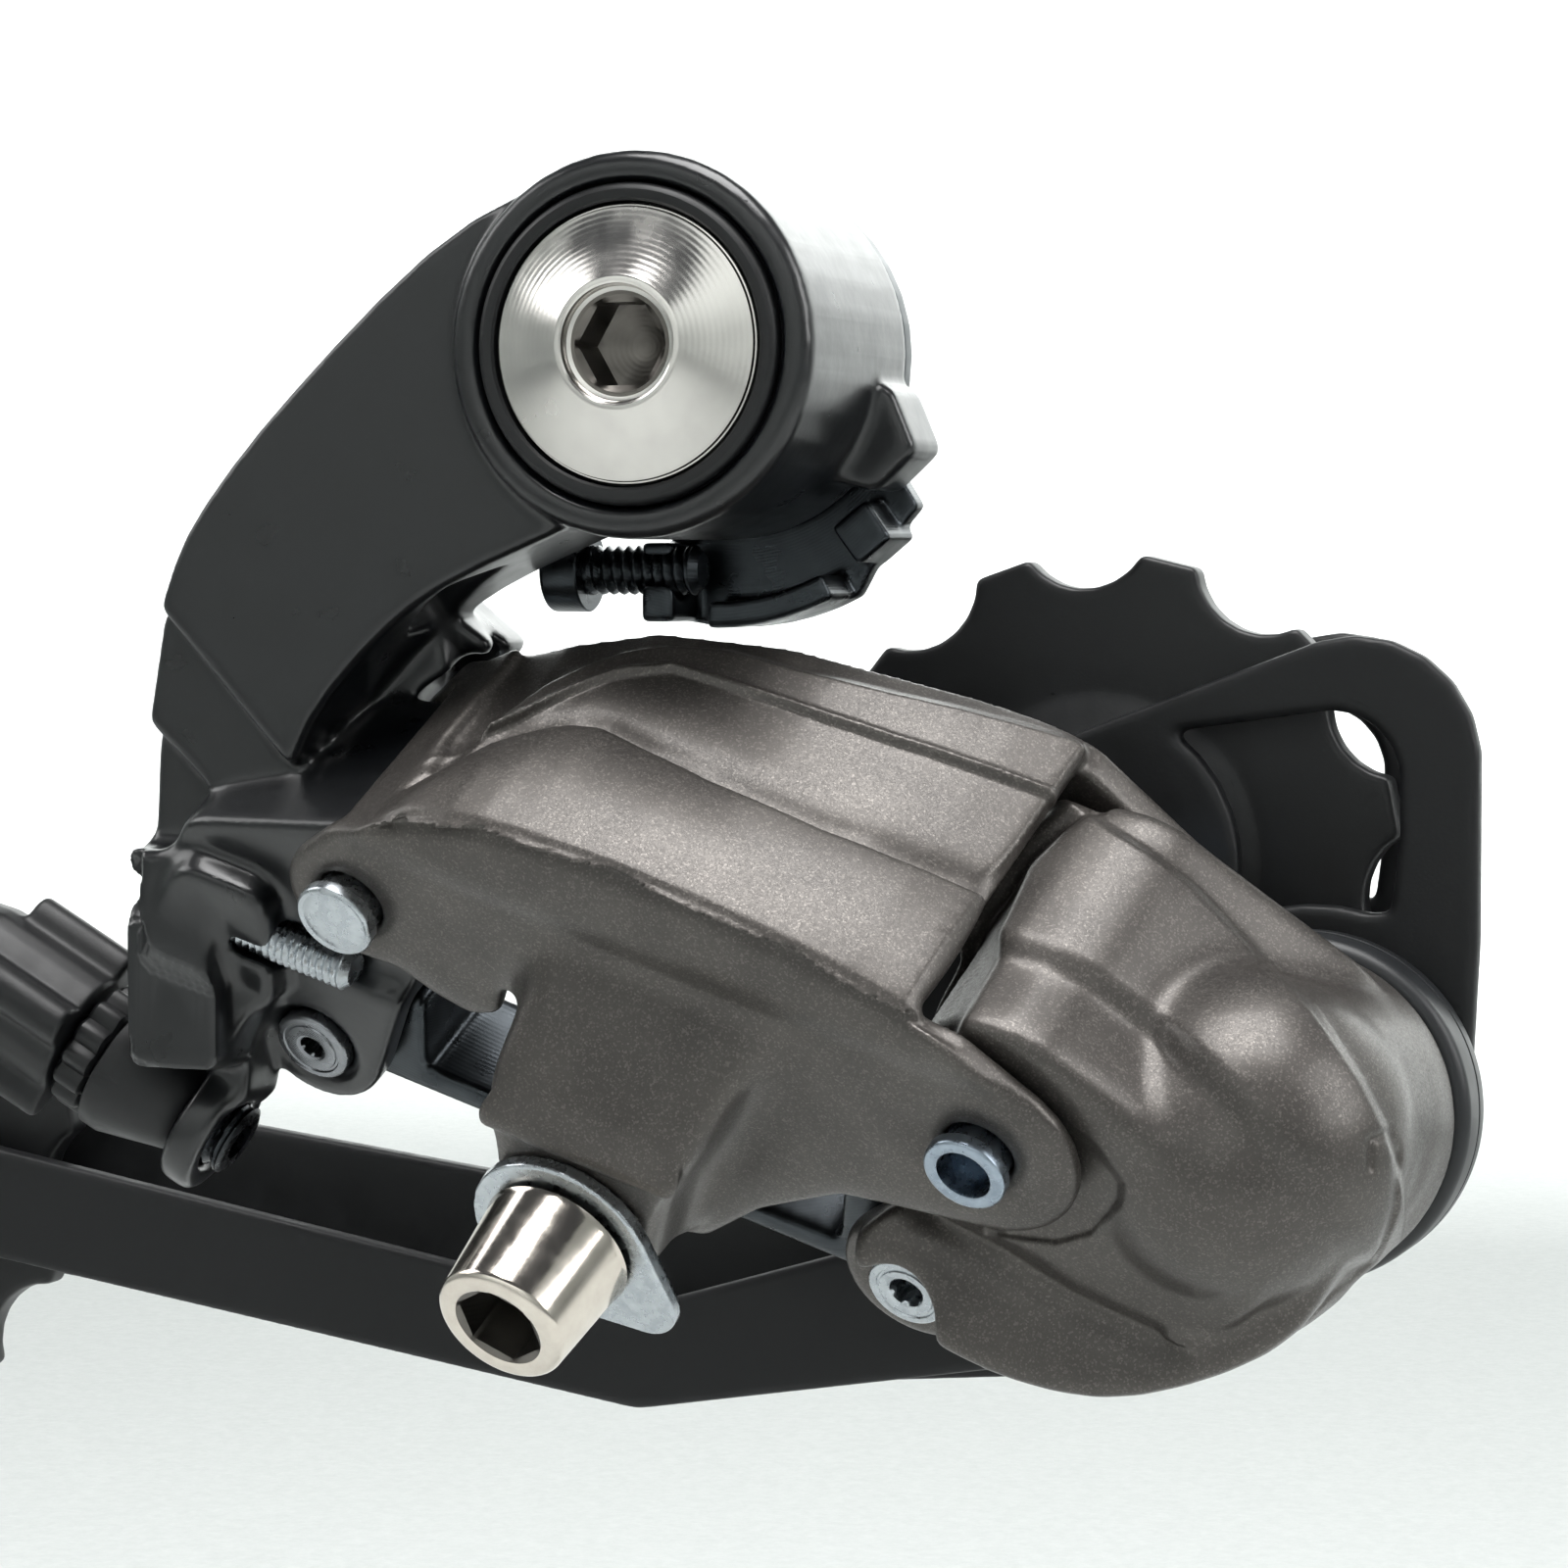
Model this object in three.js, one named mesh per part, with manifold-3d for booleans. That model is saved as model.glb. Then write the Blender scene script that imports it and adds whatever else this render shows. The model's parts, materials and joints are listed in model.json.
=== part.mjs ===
// Rear bicycle derailleur with a slanted parallelogram and a long pulley cage.
// Millimetres. +X points forward, +Y towards the wheel, +Z up.
// The origin is on the hanger bolt's axis, in the plane of the hanger's outer face.
import * as THREE from 'three';
import { mergeVertices } from 'three/addons/utils/BufferGeometryUtils.js';
import Module from 'manifold-3d';

const wasm = await Module();
wasm.setup();

// ---------------------------------------------------------------- fits
const partGap = 0.3;
const turningGap = 0.08;
const screwGap = 0.25;

// ---------------------------------------------------------------- hanger bolt and upper pivot
const hangerThreadRadius = 5;
const hangerThreadLength = 9;
const boltShankRadius = 6.2;
const boltHeadRadius = 8.5;
const boltHeadEdge = 1.2;
const boltHeadCone = 1.6;
const hexAcrossFlats = 5;
const hexDepth = 4;
const hexRecessRadius = 3.55;
const barrelRadius = 11.8;
const barrelFrontY = -22.4;
const stopperThickness = 2;
const clipThickness = 0.8;
const springWireRadius = 0.9;

// ---------------------------------------------------------------- link parallelogram
const linkPitch = 43;
const pinAxis = new THREE.Vector3(0.19, 0.8, 0.57).normalize();
const linkStart = new THREE.Vector3(-18.3, -24, -34.7);
const linkHeading = new THREE.Vector3(40.7, 0, -13.9);
const innerOffsetAlong = -4.3;
const innerOffsetAcross = 16.8;
const pinRadius = 2.2;
const pinHeadRadius = 2.65;
const pinHeadHeight = 1;
const flangeThickness = 2.2;
const wallThickness = 2.6;
const eyeRadius = 4.2;
const innerLinkLow = 5.7;
const innerLinkHigh = 14.3;
const earThickness = 2.1;

// ---------------------------------------------------------------- cable anchor and adjuster
const anchorAlong = 19.4;
const anchorAcross = 13;
const anchorFaceP = -6;
const anchorHeadRadius = 4.25;
const anchorHeadLength = 7.5;
const anchorStemRadius = 2.5;
const washerRadius = 6.2;
const washerThickness = 1.2;
const adjusterSeat = new THREE.Vector3(-35.1, -11, -49.6);
const adjusterAxis = new THREE.Vector3(-0.85, -0.08, 0.52).normalize();
const adjusterThreadRadius = 2.5;
const cableBoreRadius = 1.3;
const tabThickness = 2.4;

// ---------------------------------------------------------------- lower pivot, cage and pulleys
const cagePivot = new THREE.Vector2(36.2, -47.6);
const guideCentre = new THREE.Vector2(20.6, -32.8);
const tensionCentre = new THREE.Vector2(-76, -56.2);
const armKnee = new THREE.Vector2(-10.6, -67.2);
const armWidth = 6.8;
const innerArmWidth = 12.6;
const innerInset = 3;
const plateThickness = 1.8;
const outerPlateY = 5;
const plateSpacing = 7.4;
const domeRadius = 10.6;
const domeFrontY = -24;
const cageAxleRadius = 4;
const collarRadius = 11.1;
const toothCount = 11;
const chainPitch = 12.7;
const pulleyTipRadius = 20.3;
const gapArcRadius = 4.65;
const pulleyTurn = 125.6;
const toothThickness = 2.4;
const pulleyHubRadius = 8;
const pulleyBoltRadius = 2.5;
const capThickness = 0.6;

// ---------------------------------------------------------------- values worked out from the sizes above
const linkAlong = linkHeading.clone().addScaledVector(pinAxis, -linkHeading.dot(pinAxis)).normalize();
const linkAcross = new THREE.Vector3().crossVectors(pinAxis, linkAlong);
const linkFrame = new THREE.Matrix4().makeBasis(linkAlong, linkAcross, pinAxis).setPosition(linkStart);
const sideFrame = new THREE.Matrix4().makeBasis(
  new THREE.Vector3(1, 0, 0),
  new THREE.Vector3(0, 0, 1),
  new THREE.Vector3(0, -1, 0),
);
const pinOuterUpper = [0, 0];
const pinOuterLower = [linkPitch, 0];
const pinInnerUpper = [innerOffsetAlong, innerOffsetAcross];
const pinInnerLower = [linkPitch + innerOffsetAlong, innerOffsetAcross];
const pinHoleRadius = pinRadius + turningGap;
const headTopY = barrelFrontY - boltHeadCone;
const headUnderY = barrelFrontY + boltHeadEdge;
const clipLowY = -clipThickness - partGap;
const stopperInY = clipLowY - partGap;
const stopperOutY = stopperInY - stopperThickness;
const knuckleRearY = stopperOutY - partGap;
const outerPlateInY = outerPlateY + plateThickness;
const innerPlateY = outerPlateInY + plateSpacing;
const innerPlateInY = innerPlateY + plateThickness;
const pulleyMidY = outerPlateInY + plateSpacing / 2;
const pitchRadius = chainPitch / (2 * Math.sin(Math.PI / toothCount));

// ================================================================ solids
function solid(geometry) {
  const bare = geometry.clone();
  bare.deleteAttribute('normal');
  bare.deleteAttribute('uv');
  const merged = mergeVertices(bare, 1e-5);
  return new wasm.Manifold(new wasm.Mesh({
    numProp: 3,
    vertProperties: new Float32Array(merged.attributes.position.array),
    triVerts: new Uint32Array(merged.index.array),
  }));
}

function join(...pieces) {
  return pieces.reduce((whole, piece) => whole.add(piece));
}

function cut(body, ...tools) {
  return tools.reduce((rest, tool) => rest.subtract(tool), body);
}

// ---------------------------------------------------------------- outlines
function arc(x, y, radius, fromDeg, toDeg, steps = 8) {
  return Array.from({ length: steps + 1 }, (_, i) => {
    const angle = THREE.MathUtils.degToRad(fromDeg + ((toDeg - fromDeg) * i) / steps);
    return [x + radius * Math.cos(angle), y + radius * Math.sin(angle)];
  });
}

// the line that a cord pulled tight round circles [x, y, radius] would take
function wrapped(circles, steps = 20) {
  const dots = circles.flatMap(([x, y, r]) => arc(x, y, r, 0, 360 - 360 / steps, steps - 1));
  dots.sort((a, b) => a[0] - b[0] || a[1] - b[1]);
  const turn = (a, b, c) => (b[0] - a[0]) * (c[1] - a[1]) - (b[1] - a[1]) * (c[0] - a[0]);
  const chain = (list) => {
    const kept = [];
    for (const dot of list) {
      while (kept.length > 1 && turn(kept.at(-2), kept.at(-1), dot) <= 1e-6) {
        kept.pop();
      }
      kept.push(dot);
    }
    return kept.slice(0, -1);
  };
  return [...chain(dots), ...chain([...dots].reverse())];
}

function smooth(points, steps) {
  const line = new THREE.SplineCurve(points.map(([x, y]) => new THREE.Vector2(x, y)));
  return line.getPoints(steps).map((p) => [p.x, p.y]);
}

// ---------------------------------------------------------------- primitives, axis along Z of their own frame
function slab(outline, low, high) {
  const shape = new THREE.Shape(outline.map(([x, y]) => new THREE.Vector2(x, y)));
  const geometry = new THREE.ExtrudeGeometry(shape, { depth: high - low, bevelEnabled: false });
  return geometry.translate(0, 0, low);
}

// a closed [radius, height] profile, listed with its outer side going up
function turned(profile, steps = 28) {
  const ring = [...profile, profile[0]].map(([r, h]) => new THREE.Vector2(r, h));
  return new THREE.LatheGeometry(ring, steps).rotateX(Math.PI / 2);
}

function rod(radius, low, high, steps = 20) {
  return turned([[0, low], [radius, low], [radius, high], [0, high]], steps);
}

// a bore's flats stay outside the round pin that runs in it
function bore(radius, low, high, steps = 20) {
  return rod(radius / Math.cos(Math.PI / steps), low, high, steps);
}

function coil(meanRadius, wireRadius, low, high, turns) {
  class Helix extends THREE.Curve {
    getPoint(t) {
      const angle = 2 * Math.PI * turns * t;
      const height = THREE.MathUtils.lerp(low + wireRadius, high - wireRadius, t);
      return new THREE.Vector3(meanRadius * Math.cos(angle), meanRadius * Math.sin(angle), height);
    }
  }
  const wire = new THREE.Shape(arc(0, 0, wireRadius, 0, 300, 5).map(([x, y]) => new THREE.Vector2(x, y)));
  return new THREE.ExtrudeGeometry(wire, { steps: turns * 12, extrudePath: new Helix(), bevelEnabled: false });
}

// ---------------------------------------------------------------- placing
// an outline in X and Z, between two depths in Y
function sideSlab(outline, lowY, highY) {
  return solid(slab(outline, -highY, -lowY).applyMatrix4(sideFrame));
}

// a shape made on Z, turned onto Y at the point [x, z]
function onSide(geometry, [x, z] = [0, 0]) {
  return solid(geometry.rotateX(-Math.PI / 2).translate(x, 0, z));
}

function linkSlab(outline, low, high) {
  return solid(slab(outline, low, high).applyMatrix4(linkFrame));
}

function onLink(geometry, [along, across]) {
  return solid(geometry.translate(along, across, 0).applyMatrix4(linkFrame));
}

// a shape made on Z, turned onto any direction
function aimed(geometry, point, direction) {
  const turn = new THREE.Quaternion().setFromUnitVectors(new THREE.Vector3(0, 0, 1), direction);
  return solid(geometry.applyQuaternion(turn).translate(point.x, point.y, point.z));
}

// ---------------------------------------------------------------- the assembly
const derailleur = new THREE.Group();
const finishes = {
  blackPaint: { color: 0x24262a, roughness: 0.35, metalness: 0.2 },
  bronzePaint: { color: 0x6b6663, roughness: 0.4, metalness: 0.6 },
  steel: { color: 0xb9bcc0, roughness: 0.3, metalness: 1 },
  darkSteel: { color: 0x3c3f40, roughness: 0.5, metalness: 0.8 },
  nickel: { color: 0xcfc6bd, roughness: 0.18, metalness: 1 },
  zinc: { color: 0xc3ccd0, roughness: 0.35, metalness: 1 },
  plastic: { color: 0x232425, roughness: 0.45, metalness: 0 },
  brass: { color: 0xb08d57, roughness: 0.4, metalness: 1 },
};

function add(name, body, finish) {
  const { vertProperties, triVerts } = body.getMesh();
  const geometry = new THREE.BufferGeometry();
  geometry.setAttribute('position', new THREE.BufferAttribute(new Float32Array(vertProperties), 3));
  geometry.setIndex(new THREE.BufferAttribute(new Uint32Array(triVerts), 1));
  const mesh = new THREE.Mesh(geometry, new THREE.MeshStandardMaterial(finishes[finish]));
  mesh.name = name;
  derailleur.add(mesh);
}

// ================================================================ hanger side, fixed to the frame
function hangerBolt() {
  const grooveRadius = boltShankRadius - 0.8;
  const body = onSide(turned([
    [0, headTopY],
    [hexRecessRadius + 0.6, headTopY],
    [boltHeadRadius, barrelFrontY],
    [boltHeadRadius, headUnderY],
    [boltShankRadius, headUnderY],
    [boltShankRadius, clipLowY],
    [grooveRadius, clipLowY],
    [grooveRadius, clipLowY + clipThickness + partGap / 2],
    [boltShankRadius, clipLowY + clipThickness + partGap / 2],
    [boltShankRadius, 0],
    [hangerThreadRadius, 0],
    [hangerThreadRadius, hangerThreadLength - 1],
    [hangerThreadRadius - 1, hangerThreadLength],
    [0, hangerThreadLength],
  ], 36));
  const hexCorner = hexAcrossFlats / Math.sqrt(3);
  const hexHole = sideSlab(arc(0, 0, hexCorner, 30, 330, 5), headTopY - 1, headTopY + hexDepth);
  const recess = onSide(rod(hexRecessRadius, headTopY - 1, headTopY + 0.7, 28));
  return cut(body, hexHole, recess);
}

function retainingClip() {
  const innerRadius = boltShankRadius - 0.8 + 0.15;
  const ring = onSide(turned([
    [innerRadius, clipLowY + 0.1],
    [boltShankRadius + 2, clipLowY + 0.1],
    [boltShankRadius + 2, clipLowY + clipThickness],
    [innerRadius, clipLowY + clipThickness],
  ], 28));
  const mouth = sideSlab([[-2.6, 0], [2.6, 0], [2.6, 12], [-2.6, 12]], -4, 2);
  return cut(ring, mouth);
}

const tensionScrewRadius = 1.6;
const tensionScrewAt = new THREE.Vector3(0, -6.2, -13.7);
const stopperReach = 4.7;

function stopperPlate() {
  const lobe = [[-4.6, -8], ...arc(0, 0, 17.4, -104, -62, 5), ...arc(0, 0, 15.6, -50, -38, 2), [9.6, -5.4]];
  const disc = onSide(rod(barrelRadius - 0.4, stopperOutY, stopperInY, 36));
  const flat = join(disc, sideSlab(lobe, stopperOutY, stopperInY));
  const skirt = sideSlab(
    [...arc(0, 0, 17.4, -91, -62, 5), ...arc(0, 0, 15.7, -62, -91, 5)],
    stopperOutY - stopperReach,
    stopperInY,
  );
  const lug = sideSlab([[7.6, -11], [9.9, -9.2], [11.6, -11.6], [9.4, -13.4]], stopperOutY - 3.4, stopperInY);
  const tab = sideSlab([[-4.8, -17], [-2.6, -17], [-2.6, -11.9], [-4.8, -11.9]], stopperOutY - stopperReach, stopperInY);
  return cut(
    join(flat, skirt, lug, tab),
    onSide(bore(boltShankRadius + turningGap, -12, 2, 36)),
    aimed(bore(tensionScrewRadius + screwGap, -10, 2, 20), tensionScrewAt, new THREE.Vector3(1, 0, 0)),
  );
}

function tensionScrew() {
  const tip = -1.2;
  const headLow = -11.6;
  const headHigh = headLow + 2.6;
  const body = aimed(turned([
    [0, headLow],
    [2.7, headLow],
    [2.7, headHigh],
    [tensionScrewRadius, headHigh],
    [tensionScrewRadius, tip - 0.8],
    [tensionScrewRadius - 0.8, tip],
    [0, tip],
  ], 20), tensionScrewAt, new THREE.Vector3(1, 0, 0));
  return cut(body, ...crossRecess(tensionScrewAt, new THREE.Vector3(1, 0, 0), headLow, 3.4));
}

// two crossed slots sunk into a screw head whose outer face is at the given height
function crossRecess(point, direction, face, width) {
  const bar = (long, wide) => [[-long, -wide], [long, -wide], [long, wide], [-long, wide]];
  const half = width / 2;
  return [bar(half, 0.35), bar(0.35, half)].map((o) => aimed(slab(o, face - 1, face + 1), point, direction));
}

// ================================================================ upper knuckle
const springCavityRadius = 9.8;
const springCavityY = -14;
const counterboreRadius = 9.9;
const counterboreY = -19.4;
const armFrontY = -20.6;
const armRearY = -9.8;
const columnFrontY = -17;
const knuckleBlockLow = flangeThickness + 0.4;
const knuckleBlockHigh = 16;
const limitScrewAcross = 8;
const limitScrewP = [2.5, 9.4];
const limitScrewRadius = 1.5;
const limitScrewHead = -14.5;
const limitHeadRadius = 2.5;
const limitHeadHeight = 1.6;
const limitScrewTip = [-0.8, 3.4];

function limitScrewLine(p) {
  return new THREE.Vector3(0, limitScrewAcross, p).applyMatrix4(linkFrame);
}

// an eye's slot for a link that points along 0 degrees at rest and swings by the shift angle
function linkSlot([along, across], headings, low, high) {
  const reach = 26;
  const room = eyeRadius + 0.8;
  const lanes = headings.map((deg) => {
    const angle = THREE.MathUtils.degToRad(deg);
    const far = [along + reach * Math.cos(angle), across + reach * Math.sin(angle), room];
    return linkSlab(wrapped([[along, across, room], far], 24), low, high);
  });
  return join(...lanes);
}

function upperKnuckle() {
  const barrel = onSide(turned([
    [0, barrelFrontY],
    [barrelRadius - 0.6, barrelFrontY],
    [barrelRadius, barrelFrontY + 0.6],
    [barrelRadius, knuckleRearY],
    [0, knuckleRearY],
  ], 36));
  const armTop = smooth([[-2.1, 11.6], [-12.6, 7], [-23.4, -2.5], [-30.3, -10.5], [-32.8, -16.1]], 14);
  const armUnder = smooth([[-23.6, -26.2], [-21.5, -22.2], [-16.7, -17.2], [-12, -14.2], [-4, -10.8]], 10);
  const arm = sideSlab([...armTop.reverse(), [4, 2], ...armUnder.reverse()], armFrontY, armRearY);
  const step = sideSlab([[-33.4, -16.4], [-34.6, -23.4], [-27.8, -30], [-23, -26], [-24, -16]], -18.8, -7);
  const column = sideSlab(
    [[-33, -18], [-34.8, -24.8], [-35.6, -40.6], [-35, -44.5], [-31, -45.5], [-27.5, -41], [-24.6, -34],
      [-22.5, -28], [-22, -18]],
    columnFrontY,
    -6,
  );
  const web = sideSlab(
    [[-18.6, -14.4], [-13.6, -18.4], [-15, -21.6], [-21, -28], [-27, -31], [-31, -24], [-27, -12]],
    -13,
    -5,
  );
  const wedge = sideSlab([[10.4, -1.5], [12.6, -2.4], [14.2, -6.2], [11.4, -8.8], [8, -8]], -9.6, knuckleRearY);
  const pinBlock = linkSlab(
    wrapped([[...pinOuterUpper, eyeRadius + 0.4], [...pinInnerUpper, eyeRadius + 0.6], [-11, 3, 3], [-11, 14, 3]]),
    knuckleBlockLow,
    knuckleBlockHigh,
  );
  const screwBoss = linkSlab(wrapped([[-11.2, 4.5, 2], [-8, 4.5, 2], [-8, 11.5, 2], [-11.2, 11.5, 2]], 12), 0.4, 13);
  const ears = linkSlab(
    wrapped([[...pinInnerUpper, eyeRadius + 0.6], [-10, 13, 3]]),
    innerLinkLow - partGap - earThickness,
    innerLinkHigh + partGap + earThickness,
  );
  const tabLow = -tabThickness;
  const tab = join(
    aimed(rod(4.6, tabLow, 0, 28), adjusterSeat, adjusterAxis),
    sideSlab([[-35.4, -42], [-29.6, -42], [-30.4, -48], [-33.2, -50.6], [-35.2, -47.4]], -13.6, -8.4),
  );
  const screws = limitScrewP.map((p) => aimed(bore(limitScrewRadius + screwGap, -30, 12, 20), limitScrewLine(p), linkAlong));
  const screwHeads = limitScrewP.map((p) => (
    aimed(rod(limitHeadRadius + screwGap, -40, limitScrewHead + limitHeadHeight + 0.2, 20), limitScrewLine(p), linkAlong)
  ));
  const bodies = join(barrel, arm, step, column, web, wedge, pinBlock, screwBoss, ears, tab);
  return cut(
    bodies,
    onSide(bore(boltShankRadius + turningGap, -30, 2, 36)),
    onSide(bore(springCavityRadius, springCavityY, 0, 36)),
    onSide(bore(counterboreRadius, barrelFrontY - 1, counterboreY, 36)),
    onLink(bore(pinRadius + turningGap, -3, 30), pinOuterUpper),
    onLink(bore(pinRadius + turningGap, -3, 30), pinInnerUpper),
    linkSlot(pinInnerUpper, [0, 25, 50], innerLinkLow - partGap, innerLinkHigh + partGap),
    onLink(bore(pinHeadRadius + partGap, -12, innerLinkLow - partGap - earThickness), pinInnerUpper),
    onLink(bore(eyeRadius + 0.9, knuckleBlockHigh + 0.2, 22), pinOuterUpper),
    linkSlab([...arc(...pinOuterUpper, 14, -120, 10, 10), [0.5, 0.5]], knuckleBlockHigh + 0.2, 19.6),
    ...screws,
    ...screwHeads,
    aimed(rod(5.2, 0.15, 16, 28), adjusterSeat, adjusterAxis),
    aimed(bore(adjusterThreadRadius + screwGap, -12, 30, 24), adjusterSeat, adjusterAxis),
  );
}

// black plastic ring between the bolt's head and the knuckle
function frontBush() {
  const outer = counterboreRadius - partGap / 2;
  const inner = boltShankRadius + turningGap;
  return onSide(turned([
    [inner, headUnderY + 0.1],
    [boltHeadRadius + 0.15, headUnderY + 0.1],
    [boltHeadRadius + 0.15, barrelFrontY - 0.25],
    [outer - 0.3, barrelFrontY - 0.25],
    [outer, barrelFrontY + 0.1],
    [outer, counterboreY - 0.1],
    [inner, counterboreY - 0.1],
  ], 36));
}

function upperSpring() {
  return onSide(coil((boltShankRadius + springCavityRadius) / 2, springWireRadius, springCavityY + 0.4, knuckleRearY - 0.4, 5));
}

// a riveted pin: its outer head, its shank through both links and its spread end
function linkPin(centre, low, high, hollow) {
  const body = onLink(turned([
    [0, low - pinHeadHeight],
    [pinHeadRadius - 0.3, low - pinHeadHeight],
    [pinHeadRadius, low - pinHeadHeight + 0.3],
    [pinHeadRadius, low],
    [pinRadius, low],
    [pinRadius, high],
    [pinHeadRadius, high],
    [pinHeadRadius, high + pinHeadHeight],
    [0, high + pinHeadHeight],
  ], 24), centre);
  return cut(body, onLink(rod(hollow, low - pinHeadHeight - 1, low + 3, 20), centre));
}

function limitScrew(p, tip) {
  const line = limitScrewLine(p);
  const body = aimed(turned([
    [0, limitScrewHead],
    [limitHeadRadius, limitScrewHead],
    [limitHeadRadius, limitScrewHead + limitHeadHeight],
    [limitScrewRadius, limitScrewHead + limitHeadHeight],
    [limitScrewRadius, tip - 0.5],
    [limitScrewRadius - 0.5, tip],
    [0, tip],
  ], 20), line, linkAlong);
  return cut(body, ...crossRecess(line, linkAlong, limitScrewHead, 3));
}

// ---------------------------------------------------------------- barrel adjuster, heights counted from its seat
const adjusterSleeveEnd = 6.4;
const adjusterRingEnd = 9;
const adjusterKnobEnd = 21;
const knobRadius = 4.6;
const knobWingRadius = 6.4;
const knobWings = 4;
const ringTeeth = 14;

function adjusterScrew() {
  const body = aimed(rod(adjusterThreadRadius, -tabThickness - 1, adjusterKnobEnd - 3, 24), adjusterSeat, adjusterAxis);
  return cut(body, aimed(rod(cableBoreRadius, -10, 40, 16), adjusterSeat, adjusterAxis));
}

function adjusterSleeve() {
  const inner = adjusterThreadRadius + partGap;
  return aimed(turned([
    [inner, partGap],
    [3.1, partGap],
    [4.7, adjusterSleeveEnd - 1.2],
    [4.7, adjusterSleeveEnd],
    [inner, adjusterSleeveEnd],
  ], 24), adjusterSeat, adjusterAxis);
}

function ribbedOutline(inner, outer, count) {
  const step = 360 / count;
  return Array.from({ length: count }, (_, i) => [
    ...arc(0, 0, outer, i * step, (i + 0.5) * step, 1),
    ...arc(0, 0, inner, (i + 0.6) * step, (i + 0.9) * step, 1),
  ]).flat();
}

function adjusterRing() {
  const body = aimed(slab(ribbedOutline(4, 4.5, ringTeeth), adjusterSleeveEnd + partGap, adjusterRingEnd), adjusterSeat, adjusterAxis);
  return cut(body, aimed(bore(adjusterThreadRadius + partGap, -10, 40, 24), adjusterSeat, adjusterAxis));
}

function adjusterKnob() {
  const low = adjusterRingEnd + partGap;
  const step = 360 / knobWings;
  const wings = Array.from({ length: knobWings }, (_, i) => {
    const angle = THREE.MathUtils.degToRad(i * step + 20);
    const tip = [(knobWingRadius - 1.4) * Math.cos(angle), (knobWingRadius - 1.4) * Math.sin(angle), 1.4];
    return aimed(slab(wrapped([[0, 0, 2.4], tip], 12), low, adjusterKnobEnd - 4), adjusterSeat, adjusterAxis);
  });
  const core = aimed(turned([
    [0, low],
    [knobRadius, low],
    [knobRadius, adjusterKnobEnd - 3],
    [knobRadius - 0.8, adjusterKnobEnd],
    [0, adjusterKnobEnd],
  ], 24), adjusterSeat, adjusterAxis);
  return cut(
    join(core, ...wings),
    aimed(bore(adjusterThreadRadius + partGap, 0, adjusterKnobEnd - 2.6, 24), adjusterSeat, adjusterAxis),
    aimed(rod(cableBoreRadius + 1.35, 0, 40, 20), adjusterSeat, adjusterAxis),
  );
}

// ================================================================ links
const upperEarLow = knuckleBlockHigh + 0.4;
const upperEarThickness = 2.6;
const lowerEarLow = 25.6;
const linkTop = lowerEarLow + upperEarThickness;
const wallOuter = [[-1.6, -5.4], [0.6, -7], [4, -9.3], [9.3, -11.2], [18.5, -11.9], [30.2, -11.1], [38.4, -9.4]];

function wallOutline() {
  const inside = [[37, -7.1], [30, -8.5], [18.5, -9.3], [10, -8.6], [5, -6.9], [1.6, -5.2]];
  return [...smooth(wallOuter, 18), ...smooth(inside, 12)];
}

function outerLink() {
  const flange = linkSlab([
    ...arc(...pinOuterUpper, eyeRadius + 0.4, 75, 215, 8),
    ...smooth(wallOuter, 18),
    [41, -8.2],
    ...arc(...pinOuterLower, 6.4, -60, 70, 8),
    [34.5, 8.5],
    [29, 13],
    [25.4, 17.6],
    ...arc(anchorAlong, anchorAcross, 5.8, 80, 200, 7),
    [12.6, 6],
    [12.2, 2],
    [11, 2],
    [10.4, 4.9],
    [8.6, 5.9],
    [5.6, 5.2],
    [3.4, 4.2],
  ], 0, flangeThickness);
  const wall = linkSlab(wallOutline(), 0, linkTop);
  const upperEar = linkSlab(
    [...arc(...pinOuterUpper, eyeRadius + 0.2, 0, 180, 8), [-4.4, -1], [-1.6, -5.4], [2, -7], [7, -9], [9, -8.4]],
    upperEarLow,
    upperEarLow + upperEarThickness,
  );
  const lowerEar = linkSlab(
    [...arc(...pinOuterLower, eyeRadius + 0.2, -70, 130, 9), [36, -4], [30, -9], [38, -8.4]],
    lowerEarLow,
    linkTop,
  );
  const bossTurn = new THREE.Matrix4().makeBasis(
    new THREE.Vector3(0, 1, 0),
    new THREE.Vector3(0, 0, 1),
    new THREE.Vector3(1, 0, 0),
  );
  const ramp = [[-4, 0.5], [-3, -0.6], [2, -5.4], [5, anchorFaceP - 0.7], [6.2, anchorFaceP - 0.7],
    [6.2, anchorFaceP], [anchorAcross + 5.6, anchorFaceP], [anchorAcross + 5.6, 0.5]];
  const scoop = solid(slab(ramp, 12.8, 30).applyMatrix4(bossTurn).applyMatrix4(linkFrame));
  const bossShape = linkSlab(
    [...arc(anchorAlong, anchorAcross, 5.8, 20, 185, 8), [13, 3], [13.6, -2], [16, -4], [30, -4], [27.4, 4], [25.6, 9]],
    -12,
    2,
  );
  const boss = scoop.intersect(bossShape);
  const trim = solid(
    slab([[-8, 17.6], [0, 18.4], [5, 20.6], [10, 22.6], [17, 24.4], [27, 26.4], [36, linkTop], [36, 40], [-8, 40]], -40, 36)
      .applyMatrix4(new THREE.Matrix4().makeBasis(
        new THREE.Vector3(1, 0, 0),
        new THREE.Vector3(0, 0, 1),
        new THREE.Vector3(0, -1, 0),
      ))
      .applyMatrix4(linkFrame),
  );
  return cut(
    join(flange, cut(wall, trim), upperEar, lowerEar, boss),
    onLink(bore(pinHoleRadius, -20, 36), pinOuterUpper),
    onLink(bore(pinHoleRadius, -20, 36), pinOuterLower),
    onLink(bore(anchorStemRadius + screwGap, -20, 36), [anchorAlong, anchorAcross]),
  );
}

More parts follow.
